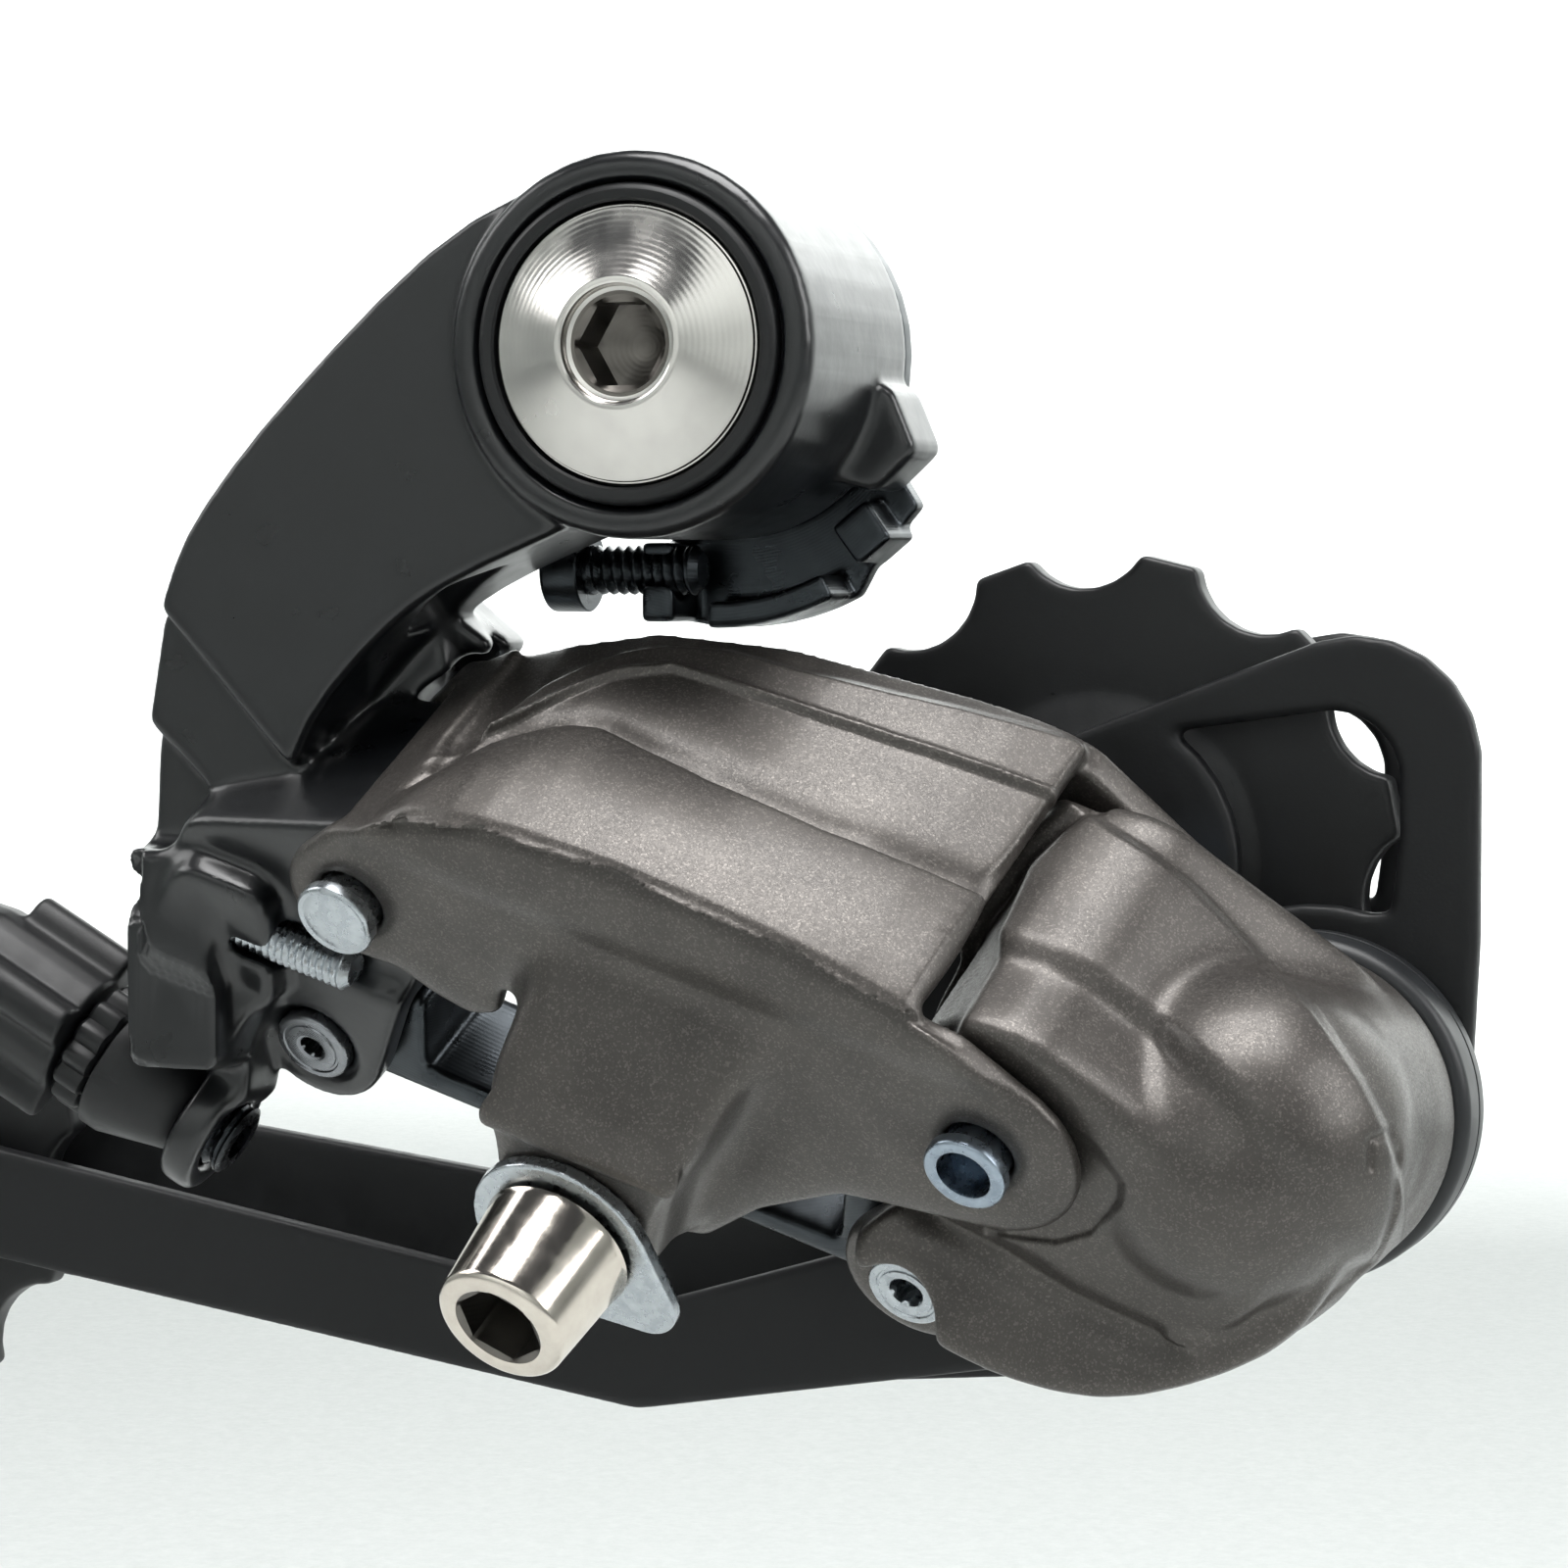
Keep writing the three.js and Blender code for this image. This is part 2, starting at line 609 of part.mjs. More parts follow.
function anchorBolt() {
  const centre = [anchorAlong, anchorAcross];
  const under = anchorFaceP - washerThickness - partGap;
  const end = under - anchorHeadLength;
  const body = onLink(turned([
    [0, end],
    [anchorHeadRadius - 0.3, end],
    [anchorHeadRadius, end + 0.4],
    [anchorHeadRadius + 0.7, under],
    [anchorStemRadius, under],
    [anchorStemRadius, flangeThickness - 0.2],
    [0, flangeThickness - 0.2],
  ], 32), centre);
  const hexCorner = hexAcrossFlats / Math.sqrt(3);
  const hole = onLink(slab(arc(0, 0, hexCorner, 10, 310, 5), end - 1, end + hexDepth), centre);
  return cut(body, hole);
}

function anchorWasher() {
  const outline = wrapped([[0, 0, washerRadius], [5.6, 3, 2.4]], 28);
  const place = ([x, y]) => [x + anchorAlong, y + anchorAcross];
  const body = linkSlab(outline.map(place), anchorFaceP - washerThickness, anchorFaceP - 0.15);
  return cut(body, onLink(bore(anchorStemRadius + screwGap, -20, 10), [anchorAlong, anchorAcross]));
}

function innerLink() {
  const eyes = [[...pinInnerUpper, eyeRadius], [...pinInnerLower, eyeRadius]];
  const start = pinInnerUpper[0];
  const end = pinInnerLower[0];
  const side = innerOffsetAcross;
  const pocket = [[start + 6.4, side - 8], [end - 6.4, side - 8], [end - 6.4, side + 2.2], [start + 6.4, side + 2.2]];
  return cut(
    linkSlab(wrapped(eyes), innerLinkLow, innerLinkHigh),
    linkSlab(pocket, innerLinkLow - 1, innerLinkHigh + 1),
    onLink(bore(eyeRadius + 1, springLow, springHigh), pinInnerUpper),
    onLink(bore(pinHoleRadius, 0, 30), pinInnerUpper),
    onLink(bore(pinRadius + partGap, 0, 30), pinInnerLower),
  );
}

const springLow = innerLinkLow + 2;
const springHigh = innerLinkHigh - 2;

function returnSpring() {
  return onLink(coil(pinRadius + 1, 0.45, springLow + 0.2, springHigh - 0.2, 4), pinInnerUpper);
}

// ================================================================ lower knuckle
const lowerKnuckleRearY = -0.6;
const lowerSpringY = -11;
const lowerCavityRadius = 8.4;
const cageAxleOuterY = -17.4;
const cageAt = cagePivot.toArray();
const swingRadius = 8.8;

function lowerKnuckle() {
  const noseCurve = arc(0, -12, 1, 270, 360, 7).map(([c, h]) => [c * domeRadius, -12 + (h + 12) * (-12 - domeFrontY)]);
  const barrel = onSide(turned([
    ...noseCurve,
    [domeRadius, lowerKnuckleRearY],
    [0, lowerKnuckleRearY],
  ], 36), cageAt);
  const block = linkSlab(
    wrapped([[...pinOuterLower, swingRadius], [cagePivotAlong - 2, 4, 7.5]]),
    knuckleBlockLow,
    lowerEarLow - 0.4,
  );
  const ears = linkSlab(
    wrapped([[...pinInnerLower, eyeRadius + 1], [50, 12, 6], [50, 3, 6]]),
    innerLinkLow - partGap - earThickness,
    innerLinkHigh + partGap + earThickness,
  );
  const leaf = sideSlab(
    smooth([[44.4, -54], [39.6, -59.4], [34, -62.4], [28, -63.8], [22, -63], [16.5, -60.8], [12.2, -57.6], [12, -54.4]], 16)
      .concat([[16, -51], [34, -42], [43, -44]]),
    -15.4,
    -3,
  );
  const sweep = (low, high, near, far, from, to) => {
    const edge = [...arc(...pinOuterLower, far, from, to, 16), ...arc(...pinOuterLower, near, to, from, 16)];
    return linkSlab(edge, low, high);
  };
  return cut(
    join(barrel, block, ears, leaf),
    sweep(-20, knuckleBlockLow, 0.5, 40, 128, 293),
    sweep(-20, 40, swingRadius, 12.4, -128, -62),
    sweep(lowerEarLow - 0.4, 40, 0.5, 16, 120, 300),
    onLink(bore(eyeRadius + 0.8, lowerEarLow - 0.4, 36), pinOuterLower),
    linkSlot(pinInnerLower, [180, 205, 230], innerLinkLow - partGap, innerLinkHigh + partGap),
    onLink(bore(pinHoleRadius, -20, 36), pinOuterLower),
    onLink(bore(pinHoleRadius, -20, 36), pinInnerLower),
    onLink(bore(pinHeadRadius + partGap, -20, innerLinkLow - partGap - earThickness), pinInnerLower),
    onSide(bore(cageAxleRadius + turningGap, cageAxleOuterY - 0.6, 2, 28), cageAt),
    onSide(bore(lowerCavityRadius, lowerSpringY, 2, 32), cageAt),
    sideSlab([[-20, -90], [80, -90], [80, 0], [-20, 0]], lowerKnuckleRearY, 30),
  );
}

const cagePivotAlong = 55.7;

// ================================================================ cage
const stopPinTurn = 198;
const stopPinRadius = 1.5;
const stopPinReach = 15.3;

function polar([x, z], radius, deg) {
  const angle = THREE.MathUtils.degToRad(deg);
  return [x + radius * Math.cos(angle), z + radius * Math.sin(angle)];
}

const stopPinAt = polar(cageAt, stopPinReach, stopPinTurn);

function cageAxle() {
  return onSide(turned([
    [0, cageAxleOuterY],
    [cageAxleRadius - 0.5, cageAxleOuterY],
    [cageAxleRadius, cageAxleOuterY + 0.5],
    [cageAxleRadius, outerPlateY - partGap],
    [3.2, outerPlateY - partGap],
    [3.2, outerPlateInY + 0.4],
    [0, outerPlateInY + 0.4],
  ], 28), cageAt);
}

// black plastic ring that closes the lower spring's chamber
function cageCollar() {
  return onSide(turned([
    [cageAxleRadius + partGap, 1.8],
    [lowerCavityRadius - 0.2, 1.8],
    [lowerCavityRadius - 0.2, lowerKnuckleRearY + partGap],
    [collarRadius - 0.6, lowerKnuckleRearY + partGap],
    [collarRadius, lowerKnuckleRearY + 0.9],
    [collarRadius, outerPlateY - partGap],
    [cageAxleRadius + partGap, outerPlateY - partGap],
  ], 36), cageAt);
}

function lowerSpring() {
  const mean = (cageAxleRadius + lowerCavityRadius) / 2;
  return onSide(coil(mean, springWireRadius, lowerSpringY + 0.3, 1.5, 5), cageAt);
}

function stopPin() {
  return onSide(rod(stopPinRadius, 0.4, outerPlateY - partGap / 2, 16), stopPinAt);
}

// straight run from the tension pulley to the knee, then on to the pivot
function armOutline(width, rise, inset) {
  const half = width / 2;
  const run = (a, b) => wrapped([a, b], 24);
  const end = [tensionCentre.x, tensionCentre.y, 6.6];
  const near = [tensionCentre.x + 10, tensionCentre.y - 1.8, half + 0.6];
  const knee = [armKnee.x, armKnee.y + rise, half];
  const heel = [14, -61.4 + rise * 0.3, half + 1.6];
  const pivot = [...cageAt, 10.2 - inset];
  return [run(end, near), run(near, knee), run(knee, heel), run(heel, pivot)];
}

function guideFrame(inset) {
  const corner = arc(38.7 - inset, -25.8, 8, 108, 5, 6);
  return [
    [12.6, -31], ...arc(guideCentre.x, guideCentre.y, 8.2, 165, 120, 2),
    [22, -23.6], ...corner, [46.7 - inset, -37], [46.3 - inset, -45], [44.4 - inset, -53.6], [38, -57.4],
    [26, -50], [14, -40],
  ];
}

function guideWindow(inset) {
  const lipX = cageAt[0] + 5.4 - inset;
  return [
    ...arc(guideCentre.x, guideCentre.y, 10.6, 55, -18, 6), ...arc(...cageAt, 12.6, 112, 74 + inset * 5, 4),
    [lipX - 0.6, -35.4], [lipX, -30.6], ...arc(lipX - 4.4, -27, 4.4, 10, 92, 4),
  ];
}

function cagePlate(lowY, width, rise, inset, holeRadius) {
  const highY = lowY + plateThickness;
  const arms = armOutline(width, rise, inset).map((outline) => sideSlab(outline, lowY, highY));
  const frame = sideSlab(guideFrame(inset), lowY, highY);
  const boltHoles = [guideCentre, tensionCentre].map((c) => onSide(bore(pulleyBoltRadius + turningGap, -5, 40, 20), c.toArray()));
  const body = cut(join(...arms, frame), sideSlab(guideWindow(inset), lowY - 1, highY + 1), ...boltHoles);
  return cut(body, onSide(bore(holeRadius, -20, 40, 24), cageAt));
}

// ---------------------------------------------------------------- pulleys
function toothedOutline() {
  const half = THREE.MathUtils.radToDeg(Math.acos(
    (pitchRadius ** 2 + gapArcRadius ** 2 - pulleyTipRadius ** 2) / (2 * pitchRadius * gapArcRadius),
  ));
  return Array.from({ length: toothCount }, (_, i) => {
    const turn = pulleyTurn + (360 * i) / toothCount;
    return arc(...polar([0, 0], pitchRadius, turn), gapArcRadius, turn + 180 + half, turn + 180 - half, 7);
  }).flat();
}

function pulley(centre) {
  const at = centre.toArray();
  const half = toothThickness / 2;
  const hubHalf = plateSpacing / 2 - capThickness - 3 * turningGap - 0.2;
  const outline = [...toothedOutline()].reverse().map(([x, z]) => [x + at[0], z + at[1]]);
  const disc = sideSlab(outline, pulleyMidY - half, pulleyMidY + half);
  const hub = onSide(turned([
    [0, pulleyMidY - hubHalf],
    [pulleyHubRadius - 1, pulleyMidY - hubHalf],
    [pulleyHubRadius + 3, pulleyMidY - half],
    [pulleyHubRadius + 3, pulleyMidY + half],
    [pulleyHubRadius - 1, pulleyMidY + hubHalf],
    [0, pulleyMidY + hubHalf],
  ], 32), at);
  return cut(join(disc, hub), onSide(bore(bushRadius + turningGap, -5, 40, 24), at));
}

const bushRadius = 3.9;

function pulleyBush(centre) {
  const low = outerPlateInY + turningGap;
  const high = innerPlateY - turningGap;
  const at = centre.toArray();
  return cut(onSide(rod(bushRadius, low, high, 24), at), onSide(bore(pulleyBoltRadius + turningGap, -5, 40, 20), at));
}

function pulleyCap(centre, side) {
  const middle = pulleyMidY + side * (plateSpacing / 2 - turningGap - capThickness / 2);
  const at = centre.toArray();
  const inner = bushRadius + partGap;
  return onSide(turned([
    [inner, middle - capThickness / 2],
    [pulleyHubRadius - 0.6, middle - capThickness / 2],
    [pulleyHubRadius - 0.6, middle + capThickness / 2],
    [inner, middle + capThickness / 2],
  ], 28), at);
}

function pulleyBolt(centre) {
  const at = centre.toArray();
  const under = innerPlateInY + partGap / 2;
  const body = onSide(turned([
    [0, outerPlateY - 0.6],
    [pulleyBoltRadius - 0.4, outerPlateY - 0.6],
    [pulleyBoltRadius, outerPlateY - 0.2],
    [pulleyBoltRadius, under],
    [4.2, under],
    [4.2, under + 1.8],
    [3.4, under + 2.6],
    [0, under + 2.6],
  ], 24), at);
  const hexCorner = 3 / Math.sqrt(3);
  const hole = arc(at[0], at[1], hexCorner, 0, 300, 5);
  return cut(body, sideSlab(hole, under + 0.8, under + 4));
}

// ================================================================ every piece
add('hanger_bolt', hangerBolt(), 'steel');
add('retaining_clip', retainingClip(), 'darkSteel');
add('stopper_plate', stopperPlate(), 'darkSteel');
add('b_tension_screw', tensionScrew(), 'darkSteel');
add('upper_knuckle', upperKnuckle(), 'blackPaint');
add('upper_pivot_bush', frontBush(), 'plastic');
add('upper_pivot_spring', upperSpring(), 'steel');
add('upper_outer_pin', linkPin(pinOuterUpper, -0.2, upperEarLow + upperEarThickness + 0.2, 0.8), 'zinc');
add('upper_inner_pin', linkPin(pinInnerUpper, 3.2, innerLinkHigh + partGap + earThickness + 0.2, 0.8), 'zinc');
add('high_limit_screw', limitScrew(limitScrewP[0], limitScrewTip[0]), 'zinc');
add('low_limit_screw', limitScrew(limitScrewP[1], limitScrewTip[1]), 'zinc');
add('adjuster_screw', adjusterScrew(), 'steel');
add('adjuster_sleeve', adjusterSleeve(), 'plastic');
add('adjuster_ring', adjusterRing(), 'plastic');
add('adjuster_knob', adjusterKnob(), 'plastic');
add('outer_link', outerLink(), 'bronzePaint');
add('cable_anchor_bolt', anchorBolt(), 'nickel');
add('cable_anchor_washer', anchorWasher(), 'zinc');
add('lower_outer_pin', linkPin(pinOuterLower, -0.2, linkTop + 0.2, 1.5), 'zinc');
add('inner_link', innerLink(), 'darkSteel');
add('return_spring', returnSpring(), 'steel');
add('lower_knuckle', lowerKnuckle(), 'bronzePaint');
add('lower_inner_pin', linkPin(pinInnerLower, 3.2, innerLinkHigh + partGap + earThickness + 0.2, 1.1), 'zinc');
add('lower_pivot_spring', lowerSpring(), 'steel');
add('cage_axle', cageAxle(), 'steel');
add('cage_collar', cageCollar(), 'plastic');
add('cage_stop_pin', stopPin(), 'zinc');
add('outer_cage_plate', cagePlate(outerPlateY, armWidth, 0, 0, 3.4), 'blackPaint');
add('inner_cage_plate', cagePlate(innerPlateY, innerArmWidth, 2.8, innerInset, 1.4), 'blackPaint');
for (const [name, centre] of [['guide', guideCentre], ['tension', tensionCentre]]) {
  add(`${name}_pulley`, pulley(centre), 'plastic');
  add(`${name}_pulley_bush`, pulleyBush(centre), 'brass');
  add(`${name}_pulley_outer_cap`, pulleyCap(centre, -1), 'darkSteel');
  add(`${name}_pulley_inner_cap`, pulleyCap(centre, 1), 'darkSteel');
  add(`${name}_pulley_bolt`, pulleyBolt(centre), 'darkSteel');
}

export default derailleur;
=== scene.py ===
# A rear derailleur: painted castings, turned steel fittings and moulded pulleys,
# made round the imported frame. Lengths are in millimetres until a mesh is written.
import json
import math
import bpy
import numpy as np
import openvdb
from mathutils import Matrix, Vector


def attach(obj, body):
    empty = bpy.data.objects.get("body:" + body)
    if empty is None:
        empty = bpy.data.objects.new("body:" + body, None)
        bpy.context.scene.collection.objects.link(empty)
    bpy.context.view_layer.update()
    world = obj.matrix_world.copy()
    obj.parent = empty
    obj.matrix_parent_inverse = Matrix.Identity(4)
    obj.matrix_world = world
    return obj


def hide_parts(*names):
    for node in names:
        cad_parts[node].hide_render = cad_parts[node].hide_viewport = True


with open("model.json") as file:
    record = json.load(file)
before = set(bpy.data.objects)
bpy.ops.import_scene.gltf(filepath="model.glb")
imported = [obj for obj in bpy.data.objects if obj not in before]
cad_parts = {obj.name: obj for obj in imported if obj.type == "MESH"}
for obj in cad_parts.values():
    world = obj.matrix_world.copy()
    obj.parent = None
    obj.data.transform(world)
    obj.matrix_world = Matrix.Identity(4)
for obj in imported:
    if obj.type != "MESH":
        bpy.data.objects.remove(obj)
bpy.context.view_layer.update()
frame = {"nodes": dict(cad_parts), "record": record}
mm = 0.001
joints = {joint["name"]: joint for joint in frame["record"]["behaviour"]["joints"]}


def jointCentre(name):
    return np.array(joints[name]["pos_m"], float) / mm


def jointAxis(name):
    axis = np.array(joints[name]["axis"], float)
    return axis / np.linalg.norm(axis)


# the linkage's own axes: along the links, across them, and along the pins
pinAxis = jointAxis("parallelogram_shift")
linkAlong = jointAxis("high_limit_turn")
linkAcross = np.cross(pinAxis, linkAlong)
pinReach = 8.0   # the joints' points lie this far up the pins from the link's outer face
linkOrigin = jointCentre("parallelogram_shift") - pinReach * pinAxis
linkBasis = np.array([linkAlong, linkAcross, pinAxis])
cageCentre = jointCentre("cage_pivot")
guideCentre = jointCentre("guide_pulley_spin")
tensionCentre = jointCentre("tension_pulley_spin")


def linkPoint(along, across, up):
    return linkOrigin + along * linkAlong + across * linkAcross + up * pinAxis


def toLink(points):
    return (points - linkOrigin) @ linkBasis.T


# camera, lights, floor
studio = {
    "cameraAt": (0.101136, -0.272286, -0.012467),
    "cameraAlong": (-0.34155, 0.93840, -0.05234),
    "cameraAngle": 20.0,      # degrees across the frame
    "floorHeight": -0.165,    # below everything the cage can reach
    "sweepRadius": 1.7,
    "sweepBend": 0.3,
    "sweepSides": 64,
    "wallHeight": 1.1,
    "worldColor": "#c9ced4",
    "worldStrength": 0.14,
}


def linear(code):
    def channel(value):
        return value / 12.92 if value <= 0.04045 else ((value + 0.055) / 1.055) ** 2.4
    parts = [int(code[i:i + 2], 16) / 255 for i in (1, 3, 5)]
    return (*map(channel, parts), 1.0)


def addNode(tree, kind, settings=None, links=None):
    node = tree.nodes.new(kind)
    for key, value in (settings or {}).items():
        if isinstance(key, str) and hasattr(node, key):
            setattr(node, key, value)
        else:
            node.inputs[key].default_value = value
    for key, source in (links or {}).items():
        tree.links.new(source, node.inputs[key])
    return node


def perMetre(size):
    return 1.0 / (size * mm)   # texture scale for a feature of that many millimetres


# finishes
def newFinish(name, color, roughness, metallic=0.0, **sockets):
    material = bpy.data.materials.new(name)
    material.use_nodes = True
    tree = material.node_tree
    tree.nodes.clear()
    settings = {"Base Color": linear(color), "Roughness": roughness, "Metallic": metallic, **sockets}
    shader = addNode(tree, "ShaderNodeBsdfPrincipled", settings)
    addNode(tree, "ShaderNodeOutputMaterial", links={"Surface": shader.outputs["BSDF"]})
    place = addNode(tree, "ShaderNodeTexCoord").outputs["Object"]
    return material, tree, shader, place


def varyColor(tree, shader, fac, low, high):
    ramp = addNode(tree, "ShaderNodeMix", {"data_type": "RGBA", 6: linear(low), 7: linear(high)}, {0: fac})
    tree.links.new(ramp.outputs[2], shader.inputs["Base Color"])


def spread(tree, source, low, high, toLow, toHigh):
    settings = {"clamp": True, "From Min": low, "From Max": high, "To Min": toLow, "To Max": toHigh}
    return addNode(tree, "ShaderNodeMapRange", settings, {"Value": source}).outputs["Result"]


def bumpFrom(tree, shader, height, depth, before=None):
    links = {"Height": height}
    if before is not None:
        links["Normal"] = before.outputs["Normal"]
    bump = addNode(tree, "ShaderNodeBump", {"Strength": 1.0, "Distance": depth * mm}, links)
    tree.links.new(bump.outputs["Normal"], shader.inputs["Normal"])
    return bump


def noiseAt(tree, place, size, detail=2.0, roughness=0.5):
    settings = {"Scale": perMetre(size), "Detail": detail, "Roughness": roughness}
    return addNode(tree, "ShaderNodeTexNoise", settings, {"Vector": place}).outputs["Fac"]


# sprayed metallic lacquer on cast alloy: warm grey, with flakes of about 0.15 mm that
# catch the light one by one, and a thin clear coat over them
def metallicLacquer():
    material, tree, shader, place = newFinish(
        "warm_grey_metallic_lacquer", "#4a4644", 0.4, 0.7,
        **{"Coat Weight": 0.15, "Coat Roughness": 0.22})
    flakes = addNode(tree, "ShaderNodeTexVoronoi", {"Scale": perMetre(0.11)}, {"Vector": place})
    split = addNode(tree, "ShaderNodeSeparateColor", links={"Color": flakes.outputs["Color"]})
    shine = spread(tree, split.outputs[0], 0.72, 1.0, 0.0, 1.0)
    cloud = noiseAt(tree, place, 5.0, 3.0)
    tone = addNode(tree, "ShaderNodeMath", {"operation": "MULTIPLY_ADD", 1: 0.36, 2: 0.0}, {0: shine})
    total = addNode(tree, "ShaderNodeMath", {"operation": "MULTIPLY_ADD", 1: 0.35},
                    {0: cloud, 2: tone.outputs[0]})
    varyColor(tree, shader, total.outputs[0], "#3a3735", "#79746f")
    tree.links.new(spread(tree, split.outputs[1], 0.0, 1.0, 0.34, 0.5), shader.inputs["Roughness"])
    grain = bumpFrom(tree, shader, split.outputs[2], 0.005)
    bumpFrom(tree, shader, noiseAt(tree, place, 0.9, 2.0), 0.012, grain)
    return material


# sprayed gloss enamel on cast alloy: near-black, with a soft orange peel of about 1 mm that
# breaks the edges of reflections
def glossEnamel():
    material, tree, shader, place = newFinish(
        "black_gloss_enamel", "#08090b", 0.3, 0.0, **{"Coat Weight": 0.2, "Coat Roughness": 0.14})
    cloud = noiseAt(tree, place, 3.0, 4.0)
    varyColor(tree, shader, cloud, "#070809", "#0e1013")
    tree.links.new(spread(tree, cloud, 0.3, 0.7, 0.27, 0.35), shader.inputs["Roughness"])
    peel = bumpFrom(tree, shader, noiseAt(tree, place, 1.1, 1.0), 0.016)
    bumpFrom(tree, shader, noiseAt(tree, place, 0.18, 2.0), 0.003, peel)
    return material


# satin electro-coat on pressed steel: flat black with a fine even tooth, 0.2 mm grain
def satinCoat():
    material, tree, shader, place = newFinish(
        "black_satin_coat", "#0a0b0c", 0.5, **{"Specular IOR Level": 0.32})
    cloud = noiseAt(tree, place, 2.2, 4.0)
    varyColor(tree, shader, cloud, "#08090a", "#111214")
    tree.links.new(spread(tree, cloud, 0.3, 0.7, 0.42, 0.56), shader.inputs["Roughness"])
    bumpFrom(tree, shader, noiseAt(tree, place, 0.22, 3.0), 0.008)
    return material


# steel turned on a lathe: rings round an axis pull each highlight into a streak. Real rings
# lie about 0.1 mm apart, too fine to show, so these are drawn two or three times coarser.
ringsPerUnit = 20 / (2 * math.pi)   # rings that the wave texture draws in one unit at scale 1


def turnedSteel(name, color, bright, roughness, centre, axis, spacing=0.35, depth=0.004):
    material, tree, shader, place = newFinish(name, color, roughness, 1.0)
    turn = Vector(axis).normalized().to_track_quat("Z", "Y").to_euler()
    mapping = addNode(tree, "ShaderNodeMapping", {
        "vector_type": "TEXTURE", "Location": [c * mm for c in centre], "Rotation": turn}, {"Vector": place})
    rings = addNode(tree, "ShaderNodeTexWave", {
        "wave_type": "RINGS", "rings_direction": "Z", "Scale": perMetre(spacing) / ringsPerUnit,
        "Distortion": 0.6, "Detail": 1.0}, {"Vector": mapping.outputs["Vector"]})
    smear = noiseAt(tree, place, 2.4, 3.0)
    varyColor(tree, shader, smear, color, bright)
    worn = spread(tree, smear, 0.3, 0.7, roughness - 0.06, roughness + 0.08)
    tree.links.new(worn, shader.inputs["Roughness"])
    bumpFrom(tree, shader, rings.outputs["Fac"], depth)
    return material


# bright zinc plating: blue-white, faintly clouded, soft highlights
def zincPlate(name="bright_zinc_plate", dark="#8f959b", light="#c4c9cc"):
    material, tree, shader, place = newFinish(name, light, 0.27, 1.0)
    cloud = noiseAt(tree, place, 0.8, 4.0)
    varyColor(tree, shader, cloud, dark, light)
    tree.links.new(spread(tree, cloud, 0.3, 0.7, 0.2, 0.36), shader.inputs["Roughness"])
    bumpFrom(tree, shader, noiseAt(tree, place, 0.25, 2.0), 0.004)
    return material


# polished nickel on steel: warm, nearly a mirror, with hairline rub marks
def polishedNickel():
    material, tree, shader, place = newFinish("polished_nickel", "#cfc6bb", 0.13, 1.0)
    rub = noiseAt(tree, place, 1.6, 6.0, 0.7)
    varyColor(tree, shader, rub, "#b9b0a6", "#ded7cd")
    tree.links.new(spread(tree, rub, 0.35, 0.7, 0.1, 0.2), shader.inputs["Roughness"])
    bumpFrom(tree, shader, noiseAt(tree, place, 0.3, 2.0), 0.002)
    return material


# moulded nylon: deep black, dry sheen, spark-eroded texture of about 0.15 mm
def mouldedNylon(name="black_moulded_nylon", dark="#08090a", light="#101113", low=0.38, high=0.5):
    material, tree, shader, place = newFinish(name, dark, low, **{"Specular IOR Level": 0.38})
    cloud = noiseAt(tree, place, 4.0, 3.0)
    varyColor(tree, shader, cloud, dark, light)
    tree.links.new(spread(tree, cloud, 0.3, 0.7, low, high), shader.inputs["Roughness"])
    bumpFrom(tree, shader, noiseAt(tree, place, 0.16, 2.0), 0.006)
    return material


# oil-filled sintered bronze: dull gold, pressed powder grains of 0.1 mm
def sinteredBronze():
    material, tree, shader, place = newFinish("sintered_bronze", "#8f7446", 0.45, 1.0)
    grains = addNode(tree, "ShaderNodeTexVoronoi", {"Scale": perMetre(0.12)}, {"Vector": place})
    varyColor(tree, shader, grains.outputs["Distance"], "#6f5933", "#b0915a")
    bumpFrom(tree, shader, grains.outputs["Distance"], 0.006)
    return material


print("making finishes")
lacquer = metallicLacquer()
enamel = glossEnamel()
satin = satinCoat()
nylon = mouldedNylon()
nickel = polishedNickel()
zinc = zincPlate()
blueZinc = zincPlate("blue_passivated_zinc", "#6f7b88", "#a9b4bf")
blackZinc = zincPlate("black_passivated_zinc", "#1f2123", "#3b3e41")
bronze = sinteredBronze()
yAxis = (0.0, 1.0, 0.0)
boltSteel = turnedSteel("turned_bright_steel", "#bdbab6", "#dad7d2", 0.2, (0, 0, 0), yAxis)
darkSteel = turnedSteel("oil_blackened_steel", "#2b2e31", "#4a4e51", 0.3, (0, 0, 0), yAxis, 0.2)
# a darker steel painted into the hex sockets as the shade in their recess
socketShadeSteel = turnedSteel("socket_painted_shade_steel", "#56534f", "#7c7873", 0.36, (0, 0, 0), yAxis, 0.3)
# burnished pin steel for the axle, stop pin and bolts; on the upper inner pin it stands in for painted shade
pinSteelAndPinShade = turnedSteel("burnished_pin_steel_and_pin_shade", "#6b6e72", "#97999c", 0.26,
                       tuple(linkPoint(0, 0, 0)), tuple(pinAxis), 0.16)
wire = turnedSteel("drawn_spring_wire", "#6c6e70", "#8d8f91", 0.34, (0, 0, 0), yAxis, 0.3)


